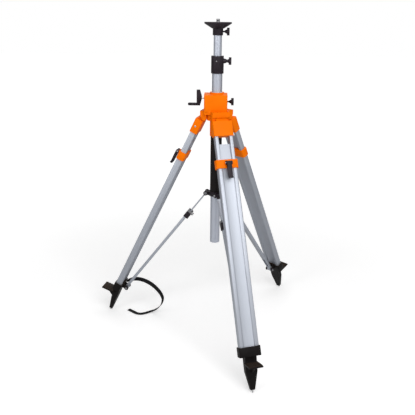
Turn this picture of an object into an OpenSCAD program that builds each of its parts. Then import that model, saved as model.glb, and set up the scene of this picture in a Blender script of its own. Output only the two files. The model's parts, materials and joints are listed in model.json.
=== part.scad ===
// Elevating tripod: a geared centre column on three telescopic legs, each braced by a telescopic strut.
// Millimetres, +Z up. The origin is on the floor under the column, the front is -Y and the crank is on -X.

/* [Legs] */
// Lean of a spread leg from upright, in degrees
leg_lean = 26; // [23:0.5:28]
// Turn of the front leg from -Y towards +X, in degrees
leg_turn = 17.5; // [5:0.5:25]
// Length from the hinge pin to the centre of the foot tip's ball
leg_length = 1168; // [1140:1:1250]
// Distance of the leg's centre line outside its hinge pin
leg_offset = 13; // [11:0.5:16]
// Width of the lower leg profile
profile_w = 85; // [82:1:92]
// Depth of the lower leg profile
profile_depth = 31; // [29:1:34]
// Width of each side channel of the profile
channel_w = 20; // [19:1:23]
// Corner radius of the side channels
channel_r = 5; // [3:0.5:7]
// Wall of the leg profiles
profile_wall = 1.6; // [1.3:0.1:2]
// Step from the side channels down to the panel between them
panel_recess = 4; // [2:0.5:5]
// Thickness of the plate between the upper rails
rail_web = 6; // [4:0.5:8]
// Hinge pin to the top edge of that plate
rail_web_top = 117; // [105:1:130]
// Distance of the upper rails' lower end above the foot's collar
rail_clear = 117; // [80:1:280]

/* [Leg caps] */
// Width of a leg cap
cap_w = 89; // [87:1:94]
// Depth of a leg cap
cap_depth = 36; // [35:1:42]
// Corner radius of a leg cap
cap_r = 6; // [3:0.5:8]
// Hinge pin to the top of the cap's block
cap_top = 17; // [16:1:24]
// Hinge pin to the bottom of the cap
cap_bottom = 83; // [75:1:95]
// Width of the cap's hinge tongue
tongue_w = 52; // [44:1:54]
// Radius of the tongue about the hinge pin
tongue_r = 12; // [11:0.5:13]
// Depth of the rail sockets in the cap
rail_seat = 50; // [35:1:60]

/* [Leg clamps] */
// Width of a leg clamp
clamp_w = 100; // [96:1:106]
// Depth of a leg clamp
clamp_depth = 38; // [37:1:44]
// Height of a leg clamp
clamp_h = 37; // [32:1:46]
// Hinge pin to the top of the clamp
clamp_top = 187; // [160:1:220]
// Height of the clamp's lip above the end of the profile
clamp_lip = 8; // [5:1:12]
// Corner radius of the clamp
clamp_r = 11; // [6:0.5:12]
// Width of the clamp lever
lever_w = 20; // [17:1:24]
// Length of the lever from its pin
lever_length = 67; // [50:1:75]
// Thickness of the lever's blade
lever_blade = 9; // [7:0.5:11]
// Radius of the lever's hub
lever_hub_r = 8; // [7:0.5:10]
// Diameter of the lever's pin
lever_pin_d = 6; // [5:0.5:7]
// Distance of the lever's pin from the clamp's face
lever_stand = 11.5; // [10:0.5:13]
// Sideways place of the lever on the clamp
lever_side = 2; // [0:1:12]

/* [Feet] */
// Width of the foot's collar
foot_w = 95; // [93:1:102]
// Depth of the foot's collar
foot_depth = 40; // [38:1:46]
// Height of the foot's collar
foot_collar_h = 40; // [34:1:48]
// Length from the top of the foot's collar to the centre of its tip's ball
foot_length = 191; // [180:1:210]
// Depth of the leg's seat in the collar
foot_seat = 28; // [20:1:32]
// Width of the foot below its collar
foot_body_w = 51; // [45:1:60]
// Straight length of the foot below its collar
foot_straight = 62; // [40:1:75]
// Width of the foot at its lower end
foot_end_w = 19; // [16:1:24]
// Distance of the foot's tip inside the leg's centre line
tip_inset = 14; // [8:1:18]
// Diameter of the steel tip
tip_d = 9; // [8:0.5:11]
// Length of the steel tip below the foot
tip_out = 14; // [12:1:20]
// Radius of the ball at the steel tip's point
tip_ball_r = 2; // [1.5:0.5:2.5]
// Width of the pedal
pedal_w = 60; // [50:1:70]
// Distance of the pedal's edge outside the leg's centre line
pedal_out = 73; // [65:1:85]
// Tilt of the pedal down from square to the leg
pedal_tilt = 7; // [0:1:15]
// Thickness of the pedal
pedal_t = 7; // [5:0.5:9]
// Distance of the pedal below the foot's collar
pedal_drop = 24; // [18:1:30]
// Number of ribs on the pedal
pedal_ribs = 4; // [2:1:6]

/* [Struts] */
// Distance of the upper strut pins from the column's axis
ring_pin_r = 43; // [42:1:48]
// Distance of the lower strut pins inside the leg's centre line
lug_out = 42; // [40:1:46]
// Distance of the lower strut pins below the top of the foot's collar
lug_drop = 15; // [12:1:20]
// Diameter of the strut pins
strut_pin_d = 8; // [6:0.5:9]
// Radius of the eyes about the strut pins
strut_eye_r = 9; // [8:0.5:10]
// Width of the strut's bar
bar_w = 17; // [14:1:20]
// Thickness of the strut's bar
bar_t = 7; // [5:0.5:8]
// Distance of the bar's lower end from the lower pin
bar_clear = 102; // [92:1:150]
// Wall of the strut's channel
strut_wall = 1.6; // [1.2:0.1:2]
// Room between the bar and the channel's back
strut_room = 5.6; // [5.6:0.1:6.5]
// Upper pin to the top of the coupling
coupling_top = 122; // [110:1:140]
// Length of the coupling
coupling_length = 43; // [36:1:50]
// Length of the channel inside the coupling
coupling_seat = 26; // [20:1:30]
// Wall of the coupling
coupling_wall = 2.4; // [2:0.1:3]
// Thickness of each cheek that holds a strut pin
strut_cheek = 5; // [4:0.5:6]

/* [Base] */
// Distance of the hinge pins from the column's axis
hinge_r = 50; // [48:0.5:54]
// Diameter of the hinge pins
hinge_pin_d = 10; // [8:0.5:12]
// Thickness of each cheek that holds a hinge pin
cheek_t = 13; // [8:1:14]
// Hinge pins to the top of the base
base_rise = 30; // [29:1:36]
// Thickness of the base's plate
base_plate = 14; // [12:1:15]
// Thickness of the hoods over the leg hinges
hood_t = 4; // [3:0.5:8]
// Height of the hoods' lower edge over the hinge pins
hood_rise = 7; // [6.5:0.5:10]
// Distance of the base's hub below the hinge pins
hub_drop = 84; // [70:1:95]
// Wall of the base's hub
hub_wall = 4; // [3:0.5:6]
// Radius of the base's skirt between its arms
skirt_r = 46; // [42:1:47]
// Distance of the skirt's lower edge below the hinge pins
skirt_drop = 12; // [8:1:14]
// Length of the guide tube below the base's hub
guide_length = 281; // [240:1:315]
// Outside diameter of the guide tube
guide_d = 51; // [50:0.5:54]
// Wall of the guide tube
guide_wall = 2.2; // [1.5:0.1:2.4]
// Height of the strut ring
ring_h = 20; // [18:1:26]
// Wall of the strut ring
ring_wall = 5; // [4:0.5:6]

/* [Gear housing] */
// Reach of the housing from the column's axis on the crank's side
housing_left = 56; // [52:1:62]
// Reach of the housing on the knob's side
housing_right = 46; // [44:1:54]
// Reach of the housing to the front
housing_front = 45; // [42:1:52]
// Reach of the housing to the back
housing_back = 52; // [50:1:60]
// Height of the housing's box
housing_h = 70; // [68:1:80]
// Wall of the housing
housing_wall = 5; // [4:0.5:6]
// Thickness of the housing's roof
roof_t = 7; // [6:0.5:8]
// Corner radius of the housing
housing_r = 7; // [4:0.5:10]
// Outside diameter of the housing's top collar
housing_collar_d = 62; // [60:1:68]
// Height of the housing's top collar
housing_collar_h = 9; // [7:0.5:12]
// Height of the pinion shaft above the base
shaft_rise = 50; // [48:0.5:51]
// Height of the column knob above the base
knob_rise = 38; // [34:1:42]
// Diameter of the screws that hold the housing
base_screw_d = 6; // [5:0.5:7]
// Length of these screws
base_screw_length = 26; // [20:1:30]

/* [Gears] */
// Module of the rack and pinion
gear_module = 1.25; // [1.25:0.05:1.3]
// Number of pinion teeth
pinion_teeth = 16; // [16:1:18]
// Play between the teeth, at the pitch line
gear_play = 0.3; // [0.2:0.05:0.4]
// Width of the pinion
pinion_w = 8; // [6:0.5:8.5]
// Width of the rack
rack_w = 9.6; // [9:0.1:10]
// Diameter of the pinion shaft
shaft_d = 10; // [8:0.5:11]
// Length of crank shaft outside the housing
shaft_out = 11; // [9:0.5:16]

/* [Column] */
// Outside diameter of the column tube
column_d = 45; // [44.5:0.1:45.2]
// Wall of the column tube
column_wall = 4.4; // [4.2:0.1:4.6]
// Length of the column tube
column_length = 827; // [780:1:880]
// Height of the sleeve above the housing's collar at rest
column_raise = 80; // [40:1:200]
// Outside diameter of the sleeve
sleeve_d = 54.5; // [52:0.5:57]
// Height of the sleeve
sleeve_h = 73; // [65:1:80]
// Depth of the column tube in the sleeve
sleeve_seat = 40; // [30:1:45]
// Outside diameter of the inner tube
inner_d = 35; // [34.5:0.1:35.2]
// Wall of the inner tube
inner_wall = 2.5; // [2:0.1:3]
// Length of the inner tube
inner_length = 760; // [600:5:790]
// Height of the head's collar above the sleeve at rest
inner_raise = 84; // [20:1:200]
// Height of the plugs in the inner tube
plug_h = 24; // [16:1:30]

/* [Head] */
// Diameter of the head plate
plate_d = 116; // [100:1:130]
// Height of the head plate's rim
plate_rim = 6; // [5:0.5:8]
// Height of the cone under the plate
cone_h = 20; // [18:1:24]
// Diameter of the cone's foot
cone_foot_d = 50; // [48:1:56]
// Outside diameter of the head's collar
head_collar_d = 44; // [43:0.5:48]
// Height of the head's collar
head_collar_h = 27; // [24:1:32]
// Major diameter of the head's stud
stud_d = 15.875; // [15.875:0.001:15.875]
// Height of the stud above the plate
stud_h = 13; // [12:0.5:16]
// Diameter of the stud's flange under the plate
stud_flange_d = 26; // [24:1:28]

/* [Knobs] */
// Diameter of a knob
knob_d = 33; // [28:1:36]
// Thickness of a knob's scalloped rim
knob_rim = 11; // [8:0.5:12]
// Number of scallops around a knob
knob_scallops = 6; // [5:1:7]
// Diameter of a scallop
scallop_d = 10; // [8:0.5:11]
// Diameter of a knob's screw
knob_screw_d = 7; // [6:0.5:8]
// Length of a knob's tapered hub
knob_hub = 9; // [6:0.5:11]
// Distance of the column knob's hub outside the housing
column_knob_out = 8; // [5:1:12]
// Distance of the head knob's hub outside its collar
head_knob_out = 7; // [4:0.5:9]
// Length of the sleeve's boss
sleeve_boss = 12; // [9:1:16]
// Diameter of the sleeve's boss at the sleeve
sleeve_boss_d = 26; // [22:1:28]

/* [Crank] */
// Length of the crank's arm from end to end
crank_length = 68; // [60:1:80]
// Width of the crank's arm
crank_w = 20; // [16:1:24]
// Thickness of the arm at its hub
crank_hub_t = 23; // [20:1:26]
// Thickness of the arm at its ends
crank_end_t = 15; // [12:1:16]
// Distance of the grip from the shaft
crank_throw = 29; // [22:1:30]
// Diameter of the crank's grip
grip_d = 13; // [11:0.5:15]
// Length of the crank's grip
grip_length = 36; // [30:1:50]
// Diameter of the grip's spindle
spindle_d = 6; // [5:0.5:7]

/* [Strap] */
// Width of the strap
strap_w = 20; // [16:1:25]
// Thickness of the strap
strap_t = 2.4; // [1.6:0.2:3]

/* [Fits] */
// Radial clearance of a turning pin or shaft
running_gap = 0.06; // [0.03:0.01:0.1]
// Gap between pieces that are fixed together
seat_gap = 0.02; // [0.01:0.01:0.05]
// Gap between pieces that slide or swing past each other
free_gap = 0.4; // [0.3:0.05:0.5]

/* [Hidden] */
$fn = 64;
orange = [1.0, 0.42, 0.0];
aluminium = [0.74, 0.75, 0.79];
black = [0.09, 0.08, 0.09];
steel = [0.6, 0.6, 0.62];
nylon = [0.85, 0.84, 0.8];
// One overrun serves every cut
cut = 1;
corner_steps = 4;
// Legs: left, front and right, by their azimuth from +X
front_azimuth = -90;
leg_step = 120;
front = front_azimuth + leg_turn;
left = front - leg_step;
right = front + leg_step;
azimuths = [left, front, right];
sides = [-1, 1];
// Heights, worked up from the floor
hinge_z = leg_length * cos(leg_lean) - (leg_offset - tip_inset) * sin(leg_lean) + tip_ball_r;
base_top_z = hinge_z + base_rise;
base_plate_z = base_top_z - base_plate;
hub_z = hinge_z - hub_drop;
skirt_z = hinge_z - skirt_drop;
ring_z = hub_z - guide_length;
ring_pin_z = ring_z + ring_h / 2;
shaft_z = base_top_z + shaft_rise;
column_knob_z = base_top_z + knob_rise;
housing_top_z = base_top_z + housing_h;
collar_top_z = housing_top_z + housing_collar_h;
sleeve_z = collar_top_z + column_raise;
sleeve_top_z = sleeve_z + sleeve_h;
column_top_z = sleeve_z + sleeve_seat;
column_z = column_top_z - column_length;
head_z = sleeve_top_z + inner_raise;
cone_z = head_z + head_collar_h;
plate_z = cone_z + cone_h;
plate_top_z = plate_z + plate_rim;
// Leg profiles
channel_y = (profile_w - channel_w) / 2;
rail_depth = profile_depth - 2 * (profile_wall + free_gap);
rail_w = channel_w - 2 * (profile_wall + free_gap);
rail_r = channel_r - profile_wall;
rail_top = cap_bottom - rail_seat;
foot_top = leg_length - foot_length;
rail_bottom = foot_top - rail_clear;
profile_top = clamp_top + clamp_lip;
profile_bottom = foot_top + foot_seat;
panel_depth = profile_depth - 2 * panel_recess;
panel_room = panel_depth - 2 * profile_wall;
// Lever
lever_pin_x = leg_offset + clamp_depth / 2 + lever_stand;
lever_pin_share = 0.45;
lever_pin_t = clamp_top + lever_pin_share * clamp_h;
lever_ear_t = 3;
lever_flare = 3;
// Foot
foot_body_t = foot_top + foot_collar_h;
foot_end_t = leg_length - tip_out + tip_ball_r;
foot_end_depth = 16;
foot_top_share = 0.9;
tip_seat = 24;
tip_x = leg_offset - tip_inset;
pedal_top_t = foot_body_t + pedal_drop;
pedal_rib_h = 2;
gusset_t = 10;
gusset_drop = 40;
gusset_share = 0.8;
lug_t = foot_top + lug_drop;
lug_x = leg_offset - lug_out;
// Struts: the two pins in a leg's upright plane
lug_r = hinge_r + lug_x * cos(leg_lean) + lug_t * sin(leg_lean);
lug_z = hinge_z + lug_x * sin(leg_lean) - lug_t * cos(leg_lean);
strut_lean = atan2(lug_r - ring_pin_r, ring_pin_z - lug_z);
strut_length = norm([lug_r - ring_pin_r, ring_pin_z - lug_z]);
bar_length = strut_length - bar_clear;
strut_channel_w = bar_w + 2 * (free_gap + strut_wall);
strut_back_x = bar_t / 2 + strut_room;
bar_inset = 0.5;
coupling_slack = 6;
coupling_in_x = -bar_t / 2 - coupling_slack;
coupling_out_x = strut_back_x + strut_wall + seat_gap + coupling_wall;
coupling_w = strut_channel_w + 2 * (seat_gap + coupling_wall);
coupling_screw_d = 6;
coupling_screw_head_d = 14;
coupling_screw_head = 8;
coupling_screw_share = 0.25;
pin_head_d = 13;
pin_head = 4;
pin_washer_d = 22;
pin_washer = 3.5;
// Base and housing
tongue_cheek_y = tongue_w / 2 + free_gap;
base_arm_w = 2 * (tongue_cheek_y + cheek_t);
base_arm_r = hinge_r + tongue_r;
cheek_inner_r = hinge_r - tongue_r;
hood_bed = 1;
base_bore_d = guide_d + 2 * seat_gap;
bush_bore_d = column_d + 2 * running_gap;
lower_bush_h = base_plate + seat_gap;
screw_boss_r = 7;
screw_boss_h = 16;
screw_inset = 10;
screw_side = 16;
screw_mid = 20;
screw_head_d = 10;
screw_head = 6;
screw_places = [
    [-housing_left + screw_side, -housing_front + screw_inset],
    [housing_right - screw_side, -housing_front + screw_inset],
    [housing_right - screw_side, housing_back - screw_inset],
    [-screw_mid, housing_back - screw_inset]
];
shaft_bush_d = 18;
shaft_boss_d = 26;
shaft_boss = 14;
pad_d = 14;
pad_t = 5;
pad_boss_d = 22;
// Rack and pinion: the rack lies in a groove in the back of the column tube
column_r = column_d / 2;
column_bore_r = column_r - column_wall;
addendum_share = 0.8;
dedendum_share = 1;
pressure_angle = 20;
addendum = addendum_share * gear_module;
dedendum = dedendum_share * gear_module;
rack_back = 1;
groove_w = rack_w + 2 * seat_gap;
rack_tip_y = sqrt(pow(column_r, 2) - pow(groove_w / 2, 2)) - seat_gap;
rack_pitch_y = rack_tip_y - addendum;
rack_back_y = rack_pitch_y - dedendum - rack_back;
tooth_pitch = PI * gear_module;
pinion_pitch_r = gear_module * pinion_teeth / 2;
pinion_y = rack_pitch_y + pinion_pitch_r + running_gap;
flank_steps = 5;
rack_margin = 12;
column_up = 300;
rack_z = shaft_z - column_up - rack_margin;
rack_teeth = floor((sleeve_z - free_gap - rack_z) / tooth_pitch);
// Column and head
sleeve_screw_share = 0.29;
sleeve_screw_z = sleeve_top_z - sleeve_screw_share * sleeve_h;
sleeve_boss_end_share = 0.62;
inner_in_cone = 4;
inner_top_z = cone_z + inner_in_cone;
inner_z = inner_top_z - inner_length;
plug_foot = 6;
plug_d = 2 * column_bore_r - 2 * running_gap;
screw_stop = 0.3;
head_screw_share = 0.56;
head_screw_z = head_z + head_collar_h * head_screw_share;
stud_bed = 10;
stud_flange = 5;
stud_shank_d = 12;
stud_relief = 1.5;
stud_recess = 1.5;
stud_recess_wide = 2.5;
stud_recess_d = stud_d + 2 * stud_recess_wide;
stud_chamfer = 1.5;
// Knobs and crank
knob_screw_share = 0.4;
knob_hub_start_share = 0.3;
knob_neck_share = 0.8;
crank_hub_share = 0.2;
crank_x = -housing_left - shaft_out;
grip_start_x = crank_x - crank_hub_t;
spindle_seat = 10;
spindle_head_d = 9;
spindle_head = 2;
// The strap's route, from the left foot's collar behind its strut and down to the floor
strap_route = [
    [-455, 132, 164], [-416, 119, 183], [-370, 108, 184], [-324, 96, 167], [-284, 78, 138],
    [-263, 65, 105], [-268, 66, 71], [-286, 79, 40], [-309, 92, 17], [-334, 94, 6],
    [-357, 83, 3], [-378, 75, 3], [-400, 78, 3], [-424, 96, 3], [-450, 117, 3]
];
// Roll of the webbing about its route at each of these points, in degrees
strap_rolls = [10, 30, 30, 30, 28, 26, 20, 12, 6, 0, 0, 0, 0, 0, 0];
strap_steps = 5;
strap_edge_share = 0.3;

// Shared shapes

// A rectangle with rounded corners, about the origin
function rounded_outline(depth, width, radius) = [
    for (corner = [0:3])
        for (step = [0:corner_steps])
            let (
                angle = 90 * (corner + step / corner_steps),
                x_sign = corner == 0 || corner == 3 ? 1 : -1,
                y_sign = corner < 2 ? 1 : -1
            )
            [
                x_sign * (depth / 2 - radius) + radius * cos(angle),
                y_sign * (width / 2 - radius) + radius * sin(angle)
            ]
];

module rounded(depth, width, radius) {
    polygon(rounded_outline(depth, width, radius));
}

// Stands a shape at a leg's hinge pin: X points outwards, Y along the pin and -Z down the leg
module at_leg(azimuth) {
    rotate([0, 0, azimuth])
        translate([hinge_r, 0, hinge_z])
            rotate([0, -leg_lean, 0])
                children();
}

// Stands a shape at a strut's upper pin: X points outwards, Y along the pin and -Z down the strut
module at_strut(azimuth) {
    rotate([0, 0, azimuth])
        translate([ring_pin_r, 0, ring_pin_z])
            rotate([0, -strut_lean, 0])
                children();
}

// Runs a flat outline along a leg's centre line, between two distances from the hinge pin
module leg_run(start, end) {
    translate([leg_offset, 0, -end])
        linear_extrude(end - start)
            children();
}

// A cylinder along Y, about the origin
module across(diameter, length) {
    rotate([90, 0, 0])
        cylinder(d = diameter, h = length, center = true);
}

// An outline in X and Z, given a width along Y
module side_plate(width, points) {
    rotate([90, 0, 0])
        translate([0, 0, -width / 2])
            linear_extrude(width)
                polygon(points);
}

// A tube that stands on Z
module tube(outer_d, inner_d, height) {
    difference() {
        cylinder(d = outer_d, h = height);
        translate([0, 0, -cut])
            cylinder(d = inner_d, h = height + 2 * cut);
    }
}

// A shape turned so that its +Z points along +X
module along_x() {
    rotate([0, 90, 0])
        children();
}

// A scalloped clamping knob on its screw, which starts at the origin and runs along +Z
module knob(screw_length) {
    rim_z = screw_length + knob_hub;
    neck_d = (knob_d - scallop_d) * knob_neck_share;
    cylinder(d = knob_screw_d, h = rim_z + knob_rim * knob_screw_share);
    translate([0, 0, screw_length])
        cylinder(d1 = knob_d * knob_hub_start_share, d2 = neck_d, h = knob_hub);
    difference() {
        translate([0, 0, rim_z])
            cylinder(d = knob_d, h = knob_rim);
        for (scallop = [0:knob_scallops - 1])
            rotate([0, 0, scallop * 360 / knob_scallops])
                translate([knob_d / 2, 0, rim_z - cut])
                    cylinder(d = scallop_d, h = knob_rim + 2 * cut);
    }
}

// A pin along Y with wide washers outside its two cheeks, a round head and a hexagon nut
module strut_pin(eye_w) {
    inner = eye_w / 2 + free_gap + strut_cheek + free_gap;
    outer = inner + pin_washer;
    across(strut_pin_d, 2 * (outer + pin_head));
    for (side = sides)
        translate([0, side * (inner + outer) / 2, 0])
            across(pin_washer_d, pin_washer);
    translate([0, outer + pin_head / 2, 0])
        across(pin_head_d, pin_head);
    translate([0, -outer, 0])
        rotate([90, 0, 0])
            cylinder(d = pin_head_d, h = pin_head, $fn = 6);
}

// Two cheeks about a strut pin, reaching back along X to the piece that carries them
module strut_cheeks(eye_w, reach) {
    for (side = sides)
        translate([0, side * (eye_w / 2 + free_gap + strut_cheek / 2), 0])
            difference() {
                union() {
                    across(2 * strut_eye_r, strut_cheek);
                    translate([min(reach, 0), -strut_cheek / 2, -strut_eye_r])
                        cube([abs(reach), strut_cheek, 2 * strut_eye_r]);
                }
                across(strut_pin_d + 2 * running_gap, strut_cheek + 2 * cut);
            }
}

// Base, housing and guide tube

module gear_housing() {
    width = housing_left + housing_right;
    depth = housing_front + housing_back;
    centre = [(housing_right - housing_left) / 2, (housing_back - housing_front) / 2, 0];
    color(orange)
        difference() {
            union() {
                translate([0, 0, base_top_z]) {
                    difference() {
                        translate(centre)
                            linear_extrude(housing_h)
                                rounded(width, depth, housing_r);
                        translate([centre.x, centre.y, -cut])
                            linear_extrude(housing_h - roof_t + cut)
                                rounded(
                                    width - 2 * housing_wall,
                                    depth - 2 * housing_wall,
                                    housing_r - housing_wall / 2
                                );
                    }
                    for (place = screw_places)
                        translate(place)
                            cylinder(r = screw_boss_r, h = screw_boss_h);
                }
                translate([0, 0, housing_top_z - roof_t])
                    cylinder(d = housing_collar_d, h = roof_t + housing_collar_h);
                translate([-housing_left + housing_wall / 2, pinion_y, shaft_z])
                    along_x()
                        cylinder(d = shaft_boss_d, h = shaft_boss - housing_wall / 2);
                translate([housing_right - shaft_boss, pinion_y, shaft_z])
                    along_x()
                        cylinder(d = shaft_boss_d, h = shaft_boss - housing_wall / 2);
                translate([column_r + pad_t, 0, column_knob_z])
                    along_x()
                        cylinder(d = pad_boss_d, h = housing_right - housing_wall / 2 - column_r - pad_t);
            }
            translate([0, 0, housing_top_z - roof_t - cut])
                cylinder(d = base_bore_d, h = roof_t + housing_collar_h + 2 * cut);
            translate([-housing_left - cut, pinion_y, shaft_z])
                along_x()
                    cylinder(d = shaft_bush_d + 2 * seat_gap, h = shaft_boss + 2 * cut);
            translate([housing_right - shaft_boss - cut, pinion_y, shaft_z])
                along_x()
                    cylinder(d = shaft_bush_d + 2 * seat_gap, h = shaft_boss - housing_wall + cut);
            translate([column_r, 0, column_knob_z])
                along_x()
                    cylinder(d = pad_d + 2 * seat_gap, h = 2 * pad_t);
            translate([column_r, 0, column_knob_z])
                along_x()
                    cylinder(d = knob_screw_d + 2 * running_gap, h = housing_right);
            for (place = screw_places)
                translate([place.x, place.y, base_top_z - cut])
                    cylinder(
                        d = base_screw_d + 2 * seat_gap,
                        h = base_screw_length - base_plate + screw_head + cut
                    );
        }
}

module tripod_base() {
    hub_d = guide_d + 2 * hub_wall;
    width = housing_left + housing_right;
    depth = housing_front + housing_back;
    color(orange)
        difference() {
            union() {
                translate([0, 0, base_plate_z])
                    linear_extrude(base_plate) {
                        translate([(housing_right - housing_left) / 2, (housing_back - housing_front) / 2])
                            rounded(width, depth, housing_r);
                        for (azimuth = azimuths)
                            rotate(azimuth)
                                translate([0, -base_arm_w / 2])
                                    square([base_arm_r, base_arm_w]);
                    }
                translate([0, 0, hub_z])
                    cylinder(d = hub_d, h = base_plate_z - hub_z + base_plate / 2);
                difference() {
                    translate([0, 0, skirt_z])
                        cylinder(r = skirt_r, h = base_plate_z - skirt_z + base_plate / 2);
                    for (azimuth = azimuths)
                        rotate([0, 0, azimuth])
                            translate([0, -tongue_cheek_y, skirt_z - cut])
                                cube([width, 2 * tongue_cheek_y, base_plate_z - skirt_z + cut]);
                }
                for (azimuth = azimuths)
                    rotate([0, 0, azimuth]) {
                        translate([base_arm_r - hood_bed, -base_arm_w / 2, hinge_z + hood_rise])
                            cube([hood_bed + hood_t, base_arm_w, base_rise - hood_rise]);
                        for (side = sides)
                            translate([0, side * (tongue_cheek_y + cheek_t / 2), 0]) {
                                translate([cheek_inner_r, -cheek_t / 2, hinge_z])
                                    cube([2 * tongue_r, cheek_t, base_plate_z - hinge_z + base_plate / 2]);
                                translate([hinge_r, 0, hinge_z])
                                    across(2 * tongue_r, cheek_t);
                            }
                    }
            }
            translate([0, 0, hub_z - cut])
                cylinder(d = base_bore_d, h = base_top_z - hub_z + 2 * cut);
            for (azimuth = azimuths)
                rotate([0, 0, azimuth])
                    translate([hinge_r, 0, hinge_z])
                        across(hinge_pin_d + 2 * seat_gap, base_arm_w + 2 * cut);
            for (place = screw_places) {
                translate([place.x, place.y, base_plate_z - cut])
                    cylinder(d = base_screw_d + 2 * seat_gap, h = base_plate + 2 * cut);
                translate([place.x, place.y, skirt_z - cut])
                    cylinder(d = screw_head_d + 2 * seat_gap, h = base_plate_z - skirt_z + screw_head + cut);
            }
        }
}

module housing_bushes() {
    upper_h = roof_t + housing_collar_h;
    color(nylon) {
        translate([0, 0, base_top_z - lower_bush_h])
            tube(guide_d, bush_bore_d, lower_bush_h);
        translate([0, 0, collar_top_z - upper_h])
            tube(guide_d, bush_bore_d, upper_h);
        translate([-housing_left, pinion_y, shaft_z])
            along_x()
                tube(shaft_bush_d, shaft_d + 2 * running_gap, shaft_boss);
        translate([housing_right - shaft_boss, pinion_y, shaft_z])
            along_x()
                tube(shaft_bush_d, shaft_d + 2 * running_gap, shaft_boss - housing_wall);
        difference() {
            translate([column_bore_r, 0, column_knob_z])
                along_x()
                    cylinder(d = pad_d, h = column_wall + pad_t);
            translate([0, 0, column_knob_z - pad_d])
                cylinder(d = bush_bore_d, h = 2 * pad_d);
        }
    }
}

module guide_tube() {
    color(black)
        translate([0, 0, ring_z])
            tube(guide_d, guide_d - 2 * guide_wall, base_top_z - lower_bush_h - ring_z);
}

module strut_ring() {
    ring_d = guide_d + 2 * seat_gap + 2 * ring_wall;
    color(black)
        difference() {
            union() {
                translate([0, 0, ring_z])
                    cylinder(d = ring_d, h = ring_h);
                for (azimuth = azimuths)
                    rotate([0, 0, azimuth])
                        translate([ring_pin_r, 0, ring_pin_z])
                            strut_cheeks(bar_w, -(ring_pin_r - guide_d / 2));
            }
            translate([0, 0, ring_z - cut])
                cylinder(d = base_bore_d, h = ring_h + 2 * cut);
        }
}

module base_screws() {
    color(steel)
        for (place = screw_places)
            translate([place.x, place.y, base_plate_z]) {
                cylinder(d = base_screw_d, h = base_screw_length);
                cylinder(d = screw_head_d, h = screw_head);
            }
}

module leg_hinge_pins() {
    color(steel)
        for (azimuth = azimuths)
            rotate([0, 0, azimuth])
                translate([hinge_r, 0, hinge_z])
                    across(hinge_pin_d, base_arm_w);
}

// Column and head

module column_tube() {
    color(aluminium)
        difference() {
            translate([0, 0, column_z])
                tube(column_d, 2 * column_bore_r, column_length);
            translate([-groove_w / 2, rack_back_y - seat_gap, rack_z - seat_gap])
                cube([groove_w, column_d, rack_teeth * tooth_pitch + 2 * seat_gap]);
        }
}

// Half of a tooth's thickness at a height above the pitch line of the rack
function rack_half(height) = (tooth_pitch - gear_play) / 4 - height * tan(pressure_angle);

module column_rack() {
    length = rack_teeth * tooth_pitch;
    // A tooth space faces the pinion's lowest tooth, so the teeth are counted from the shaft
    first = ceil((rack_z - shaft_z) / tooth_pitch);
    last = first + rack_teeth - 2;
    teeth = [
        for (index = [first:last])
            for (corner = [[-1, -dedendum], [-1, addendum], [1, addendum], [1, -dedendum]])
                [
                    rack_pitch_y + corner[1],
                    shaft_z + (index + 1 / 2) * tooth_pitch + corner[0] * rack_half(corner[1])
                ]
    ];
    root_y = rack_pitch_y - dedendum;
    outline = concat(
        [[rack_back_y, rack_z], [root_y, rack_z]],
        teeth,
        [[root_y, rack_z + length], [rack_back_y, rack_z + length]]
    );
    color(steel)
        rotate([90, 0, 90])
            translate([0, 0, -rack_w / 2])
                linear_extrude(rack_w)
                    polygon(outline);
}

module column_sleeve() {
    color(black)
        difference() {
            union() {
                translate([0, 0, sleeve_z])
                    cylinder(d = sleeve_d, h = sleeve_h);
                translate([inner_d / 2, 0, sleeve_screw_z])
                    along_x()
                        cylinder(
                            d1 = sleeve_boss_d,
                            d2 = sleeve_boss_d * sleeve_boss_end_share,
                            h = sleeve_d / 2 - inner_d / 2 + sleeve_boss
                        );
            }
            translate([0, 0, sleeve_z - cut])
                cylinder(d = column_d + 2 * seat_gap, h = sleeve_seat + cut);
            translate([0, 0, sleeve_z])
                cylinder(d = inner_d + 2 * running_gap, h = sleeve_h + cut);
            translate([0, 0, sleeve_screw_z])
                along_x()
                    cylinder(d = knob_screw_d + 2 * running_gap, h = sleeve_d + sleeve_boss);
        }
}

module inner_tube() {
    color(aluminium)
        translate([0, 0, inner_z])
            tube(inner_d, inner_d - 2 * inner_wall, inner_length);
}

module inner_tube_plugs() {
    bore_d = inner_d - 2 * inner_wall - 2 * seat_gap;
    color(nylon) {
        translate([0, 0, inner_z]) {
            cylinder(d = bore_d, h = plug_h);
            translate([0, 0, -plug_foot])
                cylinder(d = plug_d, h = plug_foot);
        }
        translate([0, 0, inner_top_z - plug_h])
            cylinder(d = bore_d, h = plug_h);
    }
}

module head_plate() {
    socket_top_z = inner_top_z + free_gap;
    color(black)
        difference() {
            union() {
                translate([0, 0, head_z])
                    cylinder(d = head_collar_d, h = head_collar_h + cut);
                translate([0, 0, cone_z])
                    cylinder(d1 = cone_foot_d, d2 = plate_d, h = cone_h);
                translate([0, 0, plate_z])
                    cylinder(d = plate_d, h = plate_rim);
            }
            translate([0, 0, head_z - cut])
                cylinder(d = inner_d + 2 * running_gap, h = socket_top_z - head_z + cut);
            translate([0, 0, cone_z])
                cylinder(d = stud_flange_d + 2 * seat_gap, h = plate_top_z - stud_bed - cone_z);
            translate([0, 0, cone_z])
                cylinder(d = stud_shank_d + 2 * seat_gap, h = cone_h + plate_rim + cut);
            translate([0, 0, plate_top_z - stud_recess])
                cylinder(d = stud_recess_d, h = stud_recess + cut);
            translate([0, 0, head_screw_z])
                along_x()
                    cylinder(d = knob_screw_d + 2 * running_gap, h = head_collar_d);
        }
}

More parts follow.
